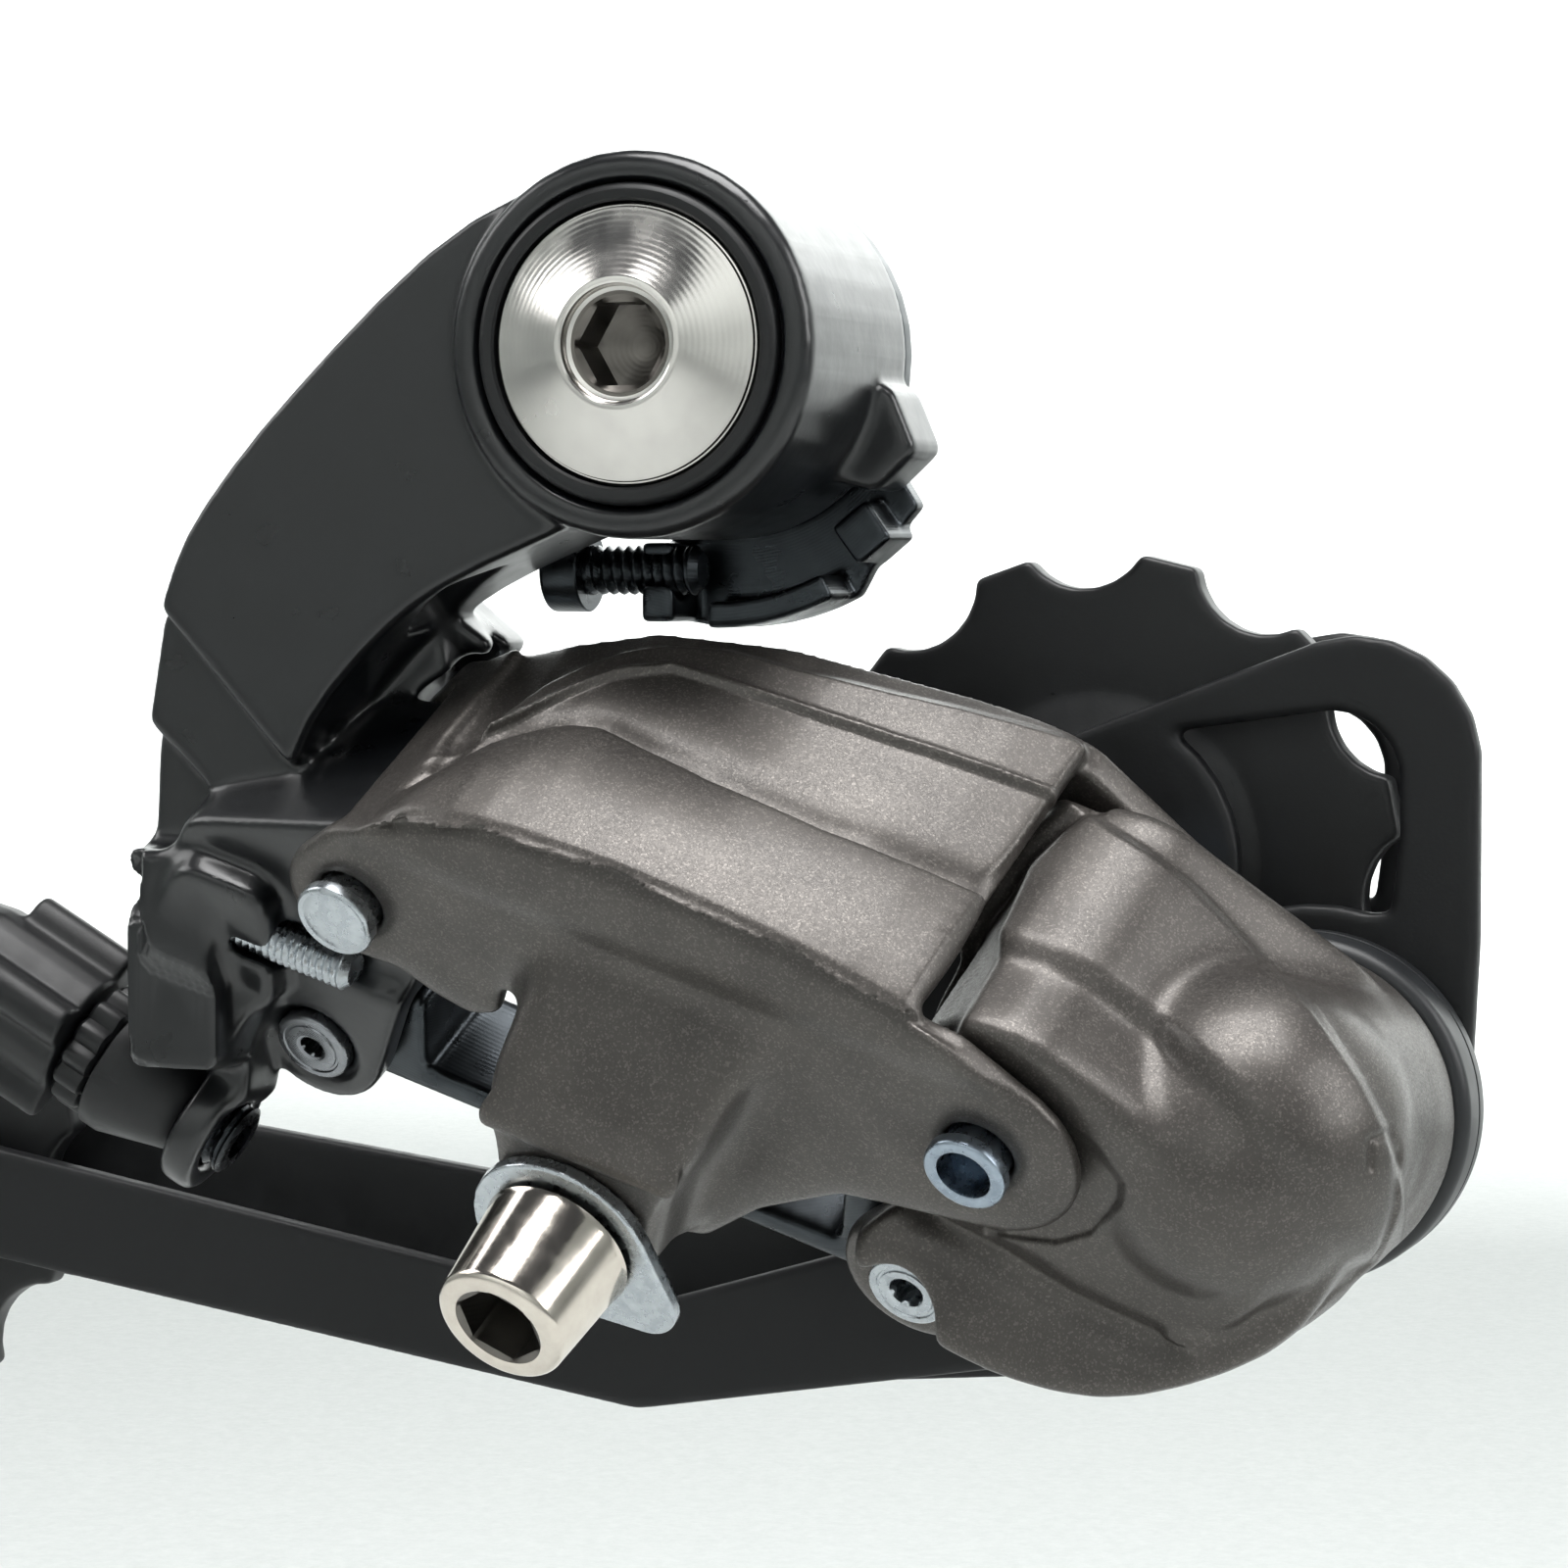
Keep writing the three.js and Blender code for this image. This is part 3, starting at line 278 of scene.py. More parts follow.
# meshes
def writeMesh(name, points, faces, smoothAngle=None):
    mesh = bpy.data.meshes.new(name)
    if isinstance(faces, np.ndarray):
        count, corners = faces.shape
        mesh.vertices.add(len(points))
        mesh.vertices.foreach_set("co", (np.asarray(points) * mm).astype(np.float32).ravel())
        mesh.loops.add(count * corners)
        mesh.loops.foreach_set("vertex_index", faces.astype(np.int32).ravel())
        mesh.polygons.add(count)
        mesh.polygons.foreach_set("loop_start", np.arange(0, count * corners, corners, dtype=np.int32))
        mesh.update(calc_edges=True)
    else:
        mesh.from_pydata([tuple(p) for p in np.asarray(points) * mm], [], faces)
    mesh.shade_smooth()
    if smoothAngle:
        mesh.set_sharp_from_angle(angle=math.radians(smoothAngle))
    piece = bpy.data.objects.new(name, mesh)
    bpy.context.scene.collection.objects.link(piece)
    return piece


def finishPiece(piece, material, body, node, keep=False):
    if not keep:
        piece.data.materials.clear()
        piece.data.materials.append(material)
    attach(piece, body)
    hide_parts(node)
    return piece


# a turned shape: rings of (radius, height) along an axis; either may be a function of the
# angle, which makes sockets, knurls and threads. The first and last ring may close on the axis.
def turnedShape(name, rings, centre, axis, start, segments=96, closed=False, smoothAngle=28):
    axis = np.array(axis, float) / np.linalg.norm(axis)
    across = np.array(start, float) - np.dot(start, axis) * axis
    across /= np.linalg.norm(across)
    side = np.cross(axis, across)
    angles = np.linspace(0, 2 * math.pi, segments, endpoint=False)
    points, rows = [], []
    for radius, height in rings:
        radii = radius(angles) if callable(radius) else np.full(segments, float(radius))
        heights = height(angles) if callable(height) else np.full(segments, float(height))
        first = len(points)
        if not callable(radius) and radius == 0:
            points.append(np.array(centre) + axis * float(heights[0]))
            rows.append([first] * segments)
            continue
        ring = (np.array(centre) + np.outer(heights, axis)
                + np.outer(radii * np.cos(angles), across) + np.outer(radii * np.sin(angles), side))
        points.extend(ring)
        rows.append(list(range(first, first + segments)))
    if closed:
        rows.append(rows[0])
    faces = []
    for low, high in zip(rows, rows[1:]):
        for i in range(segments):
            j = (i + 1) % segments
            corners = list(dict.fromkeys([low[i], low[j], high[j], high[i]]))
            if len(corners) > 2:
                faces.append(corners)
    return writeMesh(name, points, faces, smoothAngle)


def hexRadius(acrossFlats, turn=0.0):
    def radius(angles):
        inSide = (angles - turn) % (math.pi / 3) - math.pi / 6
        return acrossFlats / 2 / np.cos(inSide)
    return radius


def shadeSocket(piece, centre, axis, radius, top, outer):
    # painted shade: the walls, deeper than top and nearer the axis than radius, get a darker steel as if
    # shaded in the recess
    mesh = piece.data
    mesh.materials.append(outer)
    mesh.materials.append(socketShadeSteel)
    for face in mesh.polygons:
        away = np.array(face.center) / mm - np.array(centre)
        height = away @ np.array(axis)
        if height > top and height < top + 7 and np.linalg.norm(away - height * np.array(axis)) < radius:
            face.material_index = 1


# a helical thread as a run of rings; it fades in and out over its first and last turns
def threadRings(radius, pitch, low, high, depth=None, perTurn=10, fade=0.7):
    depth = depth or pitch * 0.55
    heights = np.linspace(low, high, max(3, int(abs(high - low) / pitch * perTurn)))

    def ringAt(height):
        ends = min(abs(height - low), abs(height - high)) / (pitch * fade)

        def radii(angles):
            wave = np.abs(((height / pitch - angles / (2 * math.pi)) % 1.0) * 2 - 1)
            return radius - depth * min(1.0, ends) * (1 - wave)
        return radii
    return [(ringAt(h), h) for h in heights]


def rounded(radius, height, size, fromSide, toSide, steps=4):
    # a quarter round at the corner (radius, height): fromSide and toSide point away from it
    rings = []
    for i in range(steps + 1):
        t = i / steps * math.pi / 2
        a, b = size * (1 - math.sin(t)), size * (1 - math.cos(t))
        rings.append((radius + fromSide[0] * a + toSide[0] * b, height + fromSide[1] * a + toSide[1] * b))
    return rings


# castings: a distance field of the frame's own solid, softened and then worked on
fieldSteps = 10   # the distances are exact to this many steps from the skin


def fieldOf(node, step, blur):
    mesh = frame["nodes"][node].data
    points = np.empty(len(mesh.vertices) * 3, np.float32)
    mesh.vertices.foreach_get("co", points)
    mesh.calc_loop_triangles()
    triangles = np.empty(len(mesh.loop_triangles) * 3, np.int32)
    mesh.loop_triangles.foreach_get("vertices", triangles)
    grid = openvdb.FloatGrid.createLevelSetFromPolygons(
        points.reshape(-1, 3).astype(np.float64) / mm, triangles=triangles.reshape(-1, 3).astype(np.uint32),
        transform=openvdb.createLinearTransform(voxelSize=step), halfWidth=fieldSteps)
    low, high = grid.evalActiveVoxelBoundingBox()
    values = np.empty([high[i] - low[i] + 1 for i in range(3)], np.float32)
    grid.copyToArray(values, ijk=low)
    return {"values": softValues(values, step, blur), "low": np.array(low, float) * step, "step": step}


def softValues(values, step, blur):
    # a spread of the distances rounds edges and fills inside corners, as a casting's are
    reach = int(3 * blur / step)
    offsets = np.arange(-reach, reach + 1)
    weights = np.exp(-0.5 * (offsets * step / blur) ** 2).astype(np.float32)
    weights /= weights.sum()
    for direction in range(3):
        pads = [(reach, reach) if i == direction else (0, 0) for i in range(3)]
        padded = np.pad(values, pads, mode="edge")
        size = values.shape[direction]
        runs = [[slice(None)] * 3 for _ in weights]
        for k, run in enumerate(runs):
            run[direction] = slice(k, k + size)
        values = sum(w * padded[tuple(run)] for w, run in zip(weights, runs))
    return values


def nearSkin(field, reach=1.9):
    # the cells within reach of the skin, and where they lie
    index = np.nonzero(np.abs(field["values"]) < reach)
    return index, np.stack(index, axis=1) * field["step"] + field["low"]


def softenWhere(field, blur, share):
    # rounds the skin further wherever share(points) is near 1
    softer = softValues(field["values"], field["step"], blur)
    index, points = nearSkin(field)
    part = share(points).astype(np.float32)
    field["values"][index] += part * (softer[index] - field["values"][index])


def workField(field, shift):
    # shift(points) says how far the skin sinks (+) or swells (-) there
    index, points = nearSkin(field)
    field["values"][index] += shift(points).astype(np.float32)


def cutField(field, distance):
    # distance(points) is negative inside the tool; what lies there is taken away
    index, points = nearSkin(field)
    field["values"][index] = np.maximum(field["values"][index], -distance(points).astype(np.float32))


def joinField(field, distance, blend):
    # what lies inside the added shape joins the casting, with a fillet about as wide as blend
    index, points = nearSkin(field, 2.1)
    own, other = field["values"][index], distance(points).astype(np.float32)
    share = np.clip(0.5 + 0.5 * (other - own) / blend, 0, 1)
    field["values"][index] = other + (own - other) * share - blend * share * (1 - share)


def castPiece(name, field, faceLimit):
    values = np.pad(field["values"], 2, mode="edge")
    grid = openvdb.FloatGrid(2.0)
    grid.copyFromArray(np.ascontiguousarray(values))
    points, quads = grid.convertToQuads(isovalue=0.0)
    points = (points - 2) * field["step"] + field["low"]
    piece = writeMesh(name, points, quads)
    fewer = piece.modifiers.new("fewer", "DECIMATE")
    fewer.ratio = min(1.0, faceLimit / (2 * len(quads)))
    return bakeModifiers(piece)


def bakeModifiers(piece):
    mesh = bpy.data.meshes.new_from_object(piece.evaluated_get(bpy.context.evaluated_depsgraph_get()))
    piece.modifiers.clear()
    old = piece.data
    piece.data = mesh
    bpy.data.meshes.remove(old)
    mesh.shade_smooth()
    return piece


def alongLine(points, line):
    # distance to a bent line in a plane, and which side: + lies left of its direction
    best = np.full(len(points), 1e9)
    side = np.zeros(len(points))
    line = np.array(line, float)
    for start, end in zip(line, line[1:]):
        run = end - start
        t = np.clip(((points - start) @ run) / (run @ run), 0, 1)
        gap = points - start - t[:, None] * run
        distance = np.hypot(gap[:, 0], gap[:, 1])
        nearer = distance < best
        best[nearer] = distance[nearer]
        side[nearer] = np.sign(run[0] * gap[nearer, 1] - run[1] * gap[nearer, 0])
    return best, side


def heightOf(line, at):
    line = np.array(line, float)
    return np.interp(at, line[:, 0], line[:, 1])


def smoothStep(value, low, high):
    t = np.clip((value - low) / (high - low), 0, 1)
    return t * t * (3 - 2 * t)


# outer link: a ribbed wall with a swollen lower edge
outerLinkShape = {
    "step": 0.2, "blur": 0.3, "faces": 90000, "bossBlur": 1.1,
    # the wall's middle line, then heights up the pins, by place along the link
    "bulgeTop": [(2, 3.5), (4.1, 5.7), (6, 8.5), (8.5, 10.4), (10, 11.3), (11.9, 11.7), (15, 11.1),
                 (19.8, 10.5), (27.5, 10.5), (32, 11), (38, 11.9)],
    "bandFoot": [(2, 7), (6.4, 11.7), (8.3, 14.5), (10.2, 16.8), (13.2, 18.5), (18, 18.6), (23.1, 19.0),
                 (27.8, 19.6), (32.5, 20.5), (38, 21.8)],
    "bandTop": [(3.7, 5.8), (4.9, 10.4), (6.3, 14.3), (8.3, 17.1), (9.6, 18.5), (11.1, 19.7), (15.3, 21.1),
                (19.9, 21.6), (26.1, 23), (32.2, 24.8), (37, 26.4)],
    "wallMiddle": [(0, -6), (5, -8.3), (10, -9.9), (18.5, -10.6), (30, -9.8), (38, -8.2)],
    "recess": 1.35, "recessRest": 0.3, "recessFade": 1.7, "ridge": 0.22,
    "bulge": 0.6,
    "crease": [(0, -6.6), (0.7, -7.1), (4, -9.3), (9.3, -11.2), (18.5, -11.9), (30.2, -11.1), (38.4, -9.4)],
    "flangeSink": 0.85, "flangeFade": 1.5,
    "topSlope": 0.75,
    "endAlong": 37.5,
    "endSlope": 0.7,
}


def outerLinkRelief(points):
    shape = outerLinkShape
    along, across, up = toLink(points).T
    foot = heightOf(shape["bandFoot"], along)
    bulgeTop = heightOf(shape["bulgeTop"], along)
    top = heightOf(shape["bandTop"], along)
    outside = heightOf(shape["wallMiddle"], along) - across
    front = smoothStep(outside, -0.2, 0.5) * smoothStep(along, 1.5, 4.5)
    hollow = smoothStep(up, bulgeTop - 0.35, bulgeTop + 0.45) * (1 - smoothStep(up, foot - 0.5, foot + 0.1))
    deep = np.exp(-np.maximum(up - bulgeTop - 0.3, 0) / shape["recessFade"])
    sink = hollow * (shape["recessRest"] + (shape["recess"] - shape["recessRest"]) * deep)
    sink -= shape["ridge"] * np.exp(-((up - foot) / 0.28) ** 2)
    swell = shape["bulge"] * np.sin(np.clip(up / np.maximum(bulgeTop, 1), 0, 1) * math.pi) ** 0.8
    crown = shape["topSlope"] * np.maximum(up - top, 0)
    end = shape["endSlope"] * np.maximum(along - shape["endAlong"], 0)
    below = across - heightOf(shape["crease"], along)
    tuck = smoothStep(below, 0.0, 0.35) * np.exp(-np.maximum(below - 0.35, 0) / shape["flangeFade"])
    tuck *= shape["flangeSink"] * smoothStep(1.3 - up, 0, 0.4)
    tuck *= smoothStep(along, 1, 4) * smoothStep(41 - along, 0, 5)
    wall = sink - swell + np.minimum(crown, 3) + np.minimum(end, 3)
    return front * wall * smoothStep(up, 0.6, 1.3) + tuck


def outerLinkBoss(points):
    along, across, up = toLink(points).T
    return smoothStep(1.4 - up, 0.0, 1.2) * smoothStep(across, -7.5, -5.0) * smoothStep(up, -6.6, -5.2)


print("casting the outer link")
field = fieldOf("outer_link", outerLinkShape["step"], outerLinkShape["blur"])
softenWhere(field, outerLinkShape["bossBlur"], outerLinkBoss)
workField(field, outerLinkRelief)
finishPiece(castPiece("outer_link_casting", field, outerLinkShape["faces"]),
            lacquer, "outer_link_body", "outer_link")

# lower knuckle: a rounded nose with a facet, a ridge and a flute that run round it
lowerKnuckleShape = {
    "step": 0.2, "blur": 0.45, "faces": 90000,
    "facing": (0.27, -0.955, 0.12),    # the side that the lines are drawn on
    "leftEdge": [(-18.6, 2.5), (-17.9, 4.5), (-17.4, 5.9), (-16, 10), (-14.6, 12.8),
                 (-13.2, 16.2), (-11.1, 18.4), (-8.4, 20.4), (-4, 24)],
    "facetFoot": [(-18, 26), (-8.5, 18.4), (-6.1, 16.9), (-3.4, 14.8), (-0.1, 11.4), (3.5, 7.4), (6.2, 3.3),
                  (7.9, 0.0), (9.4, -5), (10, -14)],
    "ridge": [(-28, 13.2), (-14.2, 11.9), (-11.6, 11.2), (-9.0, 9.9), (-5.6, 7.4), (-2, 4.1),
              (2.7, -0.8), (5.4, -4.3), (8.1, -8), (11, -16)],
    "groove": [(-19.5, -4.9), (-14.6, -7.4), (-10.4, -9.9), (-5.4, -12.1)],
    "pocket": [(-16, 2.2), (-13, 1.8), (-11.3, 1.0), (-9.1, -0.6), (-7.4, -2.8), (-7.5, -4.1), (-9.3, -6.1),
               (-11.5, -6.8), (-16, -6.4)],
    "partingLine": [(3.8, -11.4), (5.1, -9.8), (7.6, -7.8), (8.5, -4.3), (8.6, -1.0), (7.9, 0.2),
                    (6.8, -0.2), (6.8, -1.8)],
    "facetSink": 0.5, "fluteSink": 0.75, "grooveSink": 0.8, "pocketSink": 0.45, "lineSink": 0.3,
    "deepest": 0.85, "gapDepth": -3.4, "gapFoot": 2.5, "wallInner": 9.0, "domeBlur": 0.6, "edgeBlur": 0.32,
    "earPin": (38.7, 16.8), "earBore": 3.4, "earFloor": 3.4,
}


def onKnuckleFace(points):
    facing = np.array(lowerKnuckleShape["facing"]) / np.linalg.norm(lowerKnuckleShape["facing"])
    above = np.array([0, 0, 1.0]) - facing[2] * facing
    above /= np.linalg.norm(above)
    right = np.cross(above, facing)
    right *= np.sign(right[0])
    away = points - (cageCentre + np.array([0, -12.0, 0]))
    return np.stack([away @ right, away @ above], axis=1), away @ facing


def lowerKnuckleRelief(points):
    shape = lowerKnuckleShape
    plane, depth = onKnuckleFace(points)
    front = smoothStep(depth, -9.0, -5.0)
    reach = np.hypot(points[:, 0] - cageCentre[0], points[:, 2] - cageCentre[2])
    beyondBore = smoothStep(reach, shape["wallInner"], shape["wallInner"] + 0.8)
    solid = np.where(points[:, 1] > -12.5, beyondBore, 1.0)
    gap, side = alongLine(plane, shape["facetFoot"])
    over = gap * side
    facet = shape["facetSink"] * smoothStep(over, -0.15, 0.45) * (1 - 0.7 * smoothStep(over, 0.5, 5.0))
    gap, side = alongLine(plane, shape["ridge"])
    under = -gap * side
    flute = shape["fluteSink"] * smoothStep(under, -0.4, 2.0)
    flute *= np.exp(-(np.maximum(under - 1.2, 0) / 3.4) ** 2)
    gap, side = alongLine(plane, shape["groove"])
    groove = shape["grooveSink"] * np.exp(-(gap / np.where(side > 0, 0.5, 1.7)) ** 2)
    gap, side = alongLine(plane, shape["pocket"])
    inside = -gap * side * np.where(plane[:, 0] > -16, 1, 0)
    pocket = shape["pocketSink"] * smoothStep(inside, -0.1, 0.5)
    gap, side = alongLine(plane, shape["partingLine"])
    line = shape["lineSink"] * np.exp(-(gap / 0.24) ** 2)
    total = np.maximum(facet, 0) + flute + groove + pocket + line
    return front * solid * np.minimum(total, shape["deepest"])


def lowerKnuckleGap(points):
    # all left of the left edge is open down to a set depth, and so is the ear pin's counterbore
    shape = lowerKnuckleShape
    plane, depth = onKnuckleFace(points)
    gap, side = alongLine(plane, shape["leftEdge"])
    opening = np.maximum(-gap * side, np.maximum(shape["gapDepth"] - depth, shape["gapFoot"] - plane[:, 1]))
    along, across, up = toLink(points).T
    away = np.hypot(along - shape["earPin"][0], across - shape["earPin"][1])
    return np.minimum(opening, np.maximum(away - shape["earBore"], up - shape["earFloor"]))


def lowerKnuckleDome(points):
    plane, depth = onKnuckleFace(points)
    toRight, toTop = smoothStep(plane[:, 0], -12.5, -8.5), smoothStep(plane[:, 1], -9, -4)
    return smoothStep(depth, -5, -2) * toRight * toTop


def everywhere(points):
    return np.ones(len(points))


print("casting the lower knuckle")
field = fieldOf("lower_knuckle", lowerKnuckleShape["step"], lowerKnuckleShape["blur"])
softenWhere(field, lowerKnuckleShape["domeBlur"], lowerKnuckleDome)
cutField(field, lowerKnuckleGap)
softenWhere(field, lowerKnuckleShape["edgeBlur"], everywhere)
workField(field, lowerKnuckleRelief)
finishPiece(castPiece("lower_knuckle_casting", field, lowerKnuckleShape["faces"]),
            lacquer, "lower_knuckle_body", "lower_knuckle")

# upper knuckle
upperKnuckleShape = {
    "step": 0.22, "blur": 0.36, "faces": 90000,
    "coverLow": (-35.9, -20.4, -45.6), "coverHigh": (-29.6, -14.0, -31.5), "coverEdge": 0.9, "blend": 1.6,
}


def upperKnuckleCover(points):
    # a rib down the column's front that shields the limit screws' heads
    shape = upperKnuckleShape
    low, high, edge = np.array(shape["coverLow"]), np.array(shape["coverHigh"]), shape["coverEdge"]
    away = np.abs(points - (low + high) / 2) - (high - low) / 2 + edge
    return np.linalg.norm(np.maximum(away, 0), axis=1) + np.minimum(away.max(axis=1), 0) - edge


print("casting the upper knuckle")
field = fieldOf("upper_knuckle", upperKnuckleShape["step"], upperKnuckleShape["blur"])
joinField(field, upperKnuckleCover, upperKnuckleShape["blend"])
finishPiece(castPiece("upper_knuckle_casting", field, upperKnuckleShape["faces"]),
            enamel, "upper_knuckle_body", "upper_knuckle")

# softened pressings and mouldings that need no other work
softened = [
    ("outer_cage_plate", 0.2, 0.28, 60000, satin, "cage", "black_painted_steel"),
    ("inner_cage_plate", 0.2, 0.28, 60000, satin, "cage", "black_painted_steel"),
    ("stopper_plate", 0.16, 0.2, 40000, darkSteel, "mount", "dark_steel"),
    ("inner_link", 0.2, 0.4, 30000, darkSteel, "inner_link_body", "dark_steel"),
    ("guide_pulley", 0.16, 0.24, 60000, nylon, "guide_wheel", "black_plastic"),
    ("tension_pulley", 0.16, 0.24, 60000, nylon, "tension_wheel", "black_plastic"),
    ("cable_anchor_washer", 0.1, 0.1, 16000, zinc, "outer_link_body", "zinc_plate"),
    ("adjuster_knob", 0.14, 0.2, 30000, nylon, "barrel_adjuster", "black_plastic"),
]
for node, step, blur, faces, material, body, slot in softened:
    print("softening", node)
    piece = castPiece(node + "_detailed", fieldOf(node, step, blur), faces)
    finishPiece(piece, material, body, node)

# hanger bolt
hangerBolt = {
    "headFace": -24.0, "mouthRadius": 3.55, "mouthDepth": 0.7, "hexFlats": 5.0, "hexDepth": 4.0,
    "coneRadius": 8.5, "coneFoot": -22.4, "headFoot": -21.2,
    "neckRadius": 6.2, "shoulder": 0.0, "threadRadius": 5.0, "threadEnd": 8.2, "tip": 9.0, "pitch": 1.0,
}


def makeHangerBolt():
    b = hangerBolt
    face = b["headFace"]
    hexTop = face + b["mouthDepth"]
    hexFoot = hexTop + b["hexDepth"] - 0.5
    wall = hexRadius(b["hexFlats"])
    rings = [(0, hexFoot + 1.0), (1.2, hexFoot + 0.75), (2.3, hexFoot + 0.1), (wall, hexFoot)]
    rings += [(wall, hexTop + 0.3), (2.95, hexTop)]
    mouth = b["mouthRadius"]
    rings += [(3.2, hexTop), (3.45, hexTop - 0.1), (mouth, hexTop - 0.3), (mouth, face + 0.25)]
    rings += [(3.62, face + 0.08), (3.75, face), (3.95, face), (4.12, face + 0.06), (4.28, face + 0.2)]
    rings += [(b["coneRadius"] - 0.25, b["coneFoot"] - 0.1)]
    rings += rounded(b["coneRadius"], b["coneFoot"] + 0.12, 0.18, (-1, 0), (0, 1), 3)
    rings += rounded(b["coneRadius"], b["headFoot"], 0.15, (0, -1), (-1, 0), 3)
    rings += [(b["neckRadius"], b["headFoot"]), (b["neckRadius"], -1.3), (5.4, -1.1), (5.4, -0.15)]
    rings += [(b["neckRadius"] - 0.1, -0.05), (b["neckRadius"] - 0.1, b["shoulder"]), (4.5, b["shoulder"])]
    rings += threadRings(b["threadRadius"], b["pitch"], 0.35, b["threadEnd"])
    rings += [(4.2, b["tip"] - 0.1), (3.9, b["tip"]), (0, b["tip"])]
    piece = turnedShape("hanger_bolt_turned", rings, (0, 0, 0), yAxis, (1, 0, 0), 120)
    # the socket's walls are painted darker as shade
    shadeSocket(piece, (0, 0, 0), yAxis, 3.1, hexTop - 0.02, boltSteel)
    return finishPiece(piece, boltSteel, "mount", "hanger_bolt", keep=True)


print("turning the fittings")
makeHangerBolt()

# front bush, a moulded ring with two steps and a groove
frontBush = {"inner": 6.28, "rim": 8.65, "lip": 9.45, "outer": 9.75,
             "front": -22.65, "face": -21.1, "back": -19.5}


def makeFrontBush():
    b = frontBush
    rings = [(b["inner"], b["face"]), (b["rim"] - 0.05, b["face"])]
    rings += [(b["rim"], b["face"] - 0.1), (b["rim"], b["front"] + 0.2), (b["rim"] + 0.15, b["front"] + 0.04)]
    rings += [(b["rim"] + 0.3, b["front"]), (b["lip"] - 0.12, b["front"])]
    outer, waist = b["outer"], b["outer"] - 0.15
    rings += [(b["lip"] + 0.1, b["front"] + 0.12), (outer - 0.08, b["front"] + 0.3)]
    rings += [(outer, b["front"] + 0.5), (outer, -21.6), (waist, -21.5), (waist, -21.3), (outer, -21.2)]
    rings += [(outer, b["back"] - 0.2), (outer - 0.2, b["back"]), (b["inner"], b["back"])]
    piece = turnedShape("upper_pivot_bush_moulded", rings, (0, 0, 0), yAxis, (1, 0, 0), 120, closed=True)
    return finishPiece(piece, nylon, "upper_knuckle_body", "upper_pivot_bush")


makeFrontBush()

# riveted pins: a rounded head with a ring groove round its hollow end
pinShape = {"radius": 2.2, "head": 2.65, "headHeight": 1.0, "starBelow": 1.5, "starDepth": 0.08}
pins = [
    # node, place, low, high, hollow, body, finish, slot
    ("upper_outer_pin", (0, 0), -0.2, 19.2, 0, "upper_knuckle_body", zinc, "zinc_plate"),
    # this zinc pin takes the darker pin steel instead: painted shade where it lies in shadow
    ("upper_inner_pin", (-4.3, 16.8), 3.2, 16.9, 0.8, "upper_knuckle_body", pinSteelAndPinShade, "zinc_plate"),
    ("lower_outer_pin", (43, 0), -0.2, 28.4, 1.7, "outer_link_body", blueZinc, "zinc_plate"),
    ("lower_inner_pin", (38.7, 16.8), 3.2, 16.9, 1.1, "lower_knuckle_body", zinc, "zinc_plate"),
]


def makePin(node, place, low, high, hollow, body, material, slot):
    head, radius, tall = pinShape["head"], pinShape["radius"], pinShape["headHeight"]
    top = low - tall
    starred = hollow < pinShape["starBelow"]   # wide hollows are round, narrow ones six-pointed
    starDepth = pinShape["starDepth"] if starred else 0.0

    def star(angles):
        return hollow * (1 + starDepth * np.cos(6 * angles))
    if hollow:
        rings = [(0, low + 3.0), (hollow * 0.8, low + 2.7), (star, low + 2.2), (star, top + 0.3)]
        rings += [(hollow + 0.06, top + 0.1), (hollow + 0.18, top + 0.02), (hollow + 0.3, top)]
        if starred:
            rings += [(radius - 0.4, top), (radius - 0.34, top + 0.1)]
            rings += [(radius - 0.18, top + 0.1), (radius - 0.1, top)]
    else:
        rings = [(0, top - 0.12), (0.9, top - 0.1), (1.6, top - 0.04), (2.0, top + 0.04), (2.2, top + 0.12)]
    rings += rounded(head, top, 0.3, (-1, 0), (0, 1), 4)[1 if not hollow else 0:]
    rings += [(head, low - 0.1), (head - 0.1, low), (radius, low), (radius, high), (head - 0.1, high)]
    rings += [(head, high + 0.1), (head, high + tall - 0.35)]
    rings += rounded(head, high + tall, 0.3, (0, -1), (-1, 0), 4) + [(0, high + tall)]
    piece = turnedShape(node + "_riveted", rings, linkPoint(*place, 0), pinAxis, linkAlong, 72)
    return finishPiece(piece, material, body, node)


for pin in pins:
    makePin(*pin)

# anchor bolt: a polished cone with a 5 mm hex socket, and its stem
anchorBolt = {"place": (19.4, 13), "end": -15.0, "radius": 4.25, "foot": -7.5, "footRadius": 4.95,
              "stem": 2.5, "inner": 2.0, "hexFlats": 5.0, "hexDepth": 4.0}


def makeAnchorBolt():
    b = anchorBolt
    wall = hexRadius(b["hexFlats"], math.radians(10))
    end = b["end"]
    foot = end + b["hexDepth"]
    rings = [(0, foot + 0.9), (1.0, foot + 0.7), (2.35, foot), (wall, foot - 0.05), (wall, end + 0.3)]
    rings += [(2.95, end + 0.06), (3.1, end + 0.01), (3.25, end)]
    rings += rounded(b["radius"], end, 0.55, (-1, 0), (0.1, 1), 5)
    rings += [(b["footRadius"] - 0.12, b["foot"] - 0.5), (b["footRadius"], b["foot"] - 0.2)]
    rings += [(b["footRadius"] - 0.15, b["foot"]), (b["stem"], b["foot"])]
    rings += threadRings(b["stem"], 0.8, b["foot"] + 0.6, b["inner"] - 0.4)
    rings += [(b["stem"] - 0.4, b["inner"]), (0, b["inner"])]
    centre = linkPoint(*b["place"], 0)
    piece = turnedShape("cable_anchor_bolt_polished", rings, centre, pinAxis, linkAlong, 96)
    # the socket's walls are painted darker as shade
    shadeSocket(piece, centre, pinAxis, 2.97, end + 0.1, nickel)
    return finishPiece(piece, nickel, "outer_link_body", "cable_anchor_bolt", keep=True)


makeAnchorBolt()


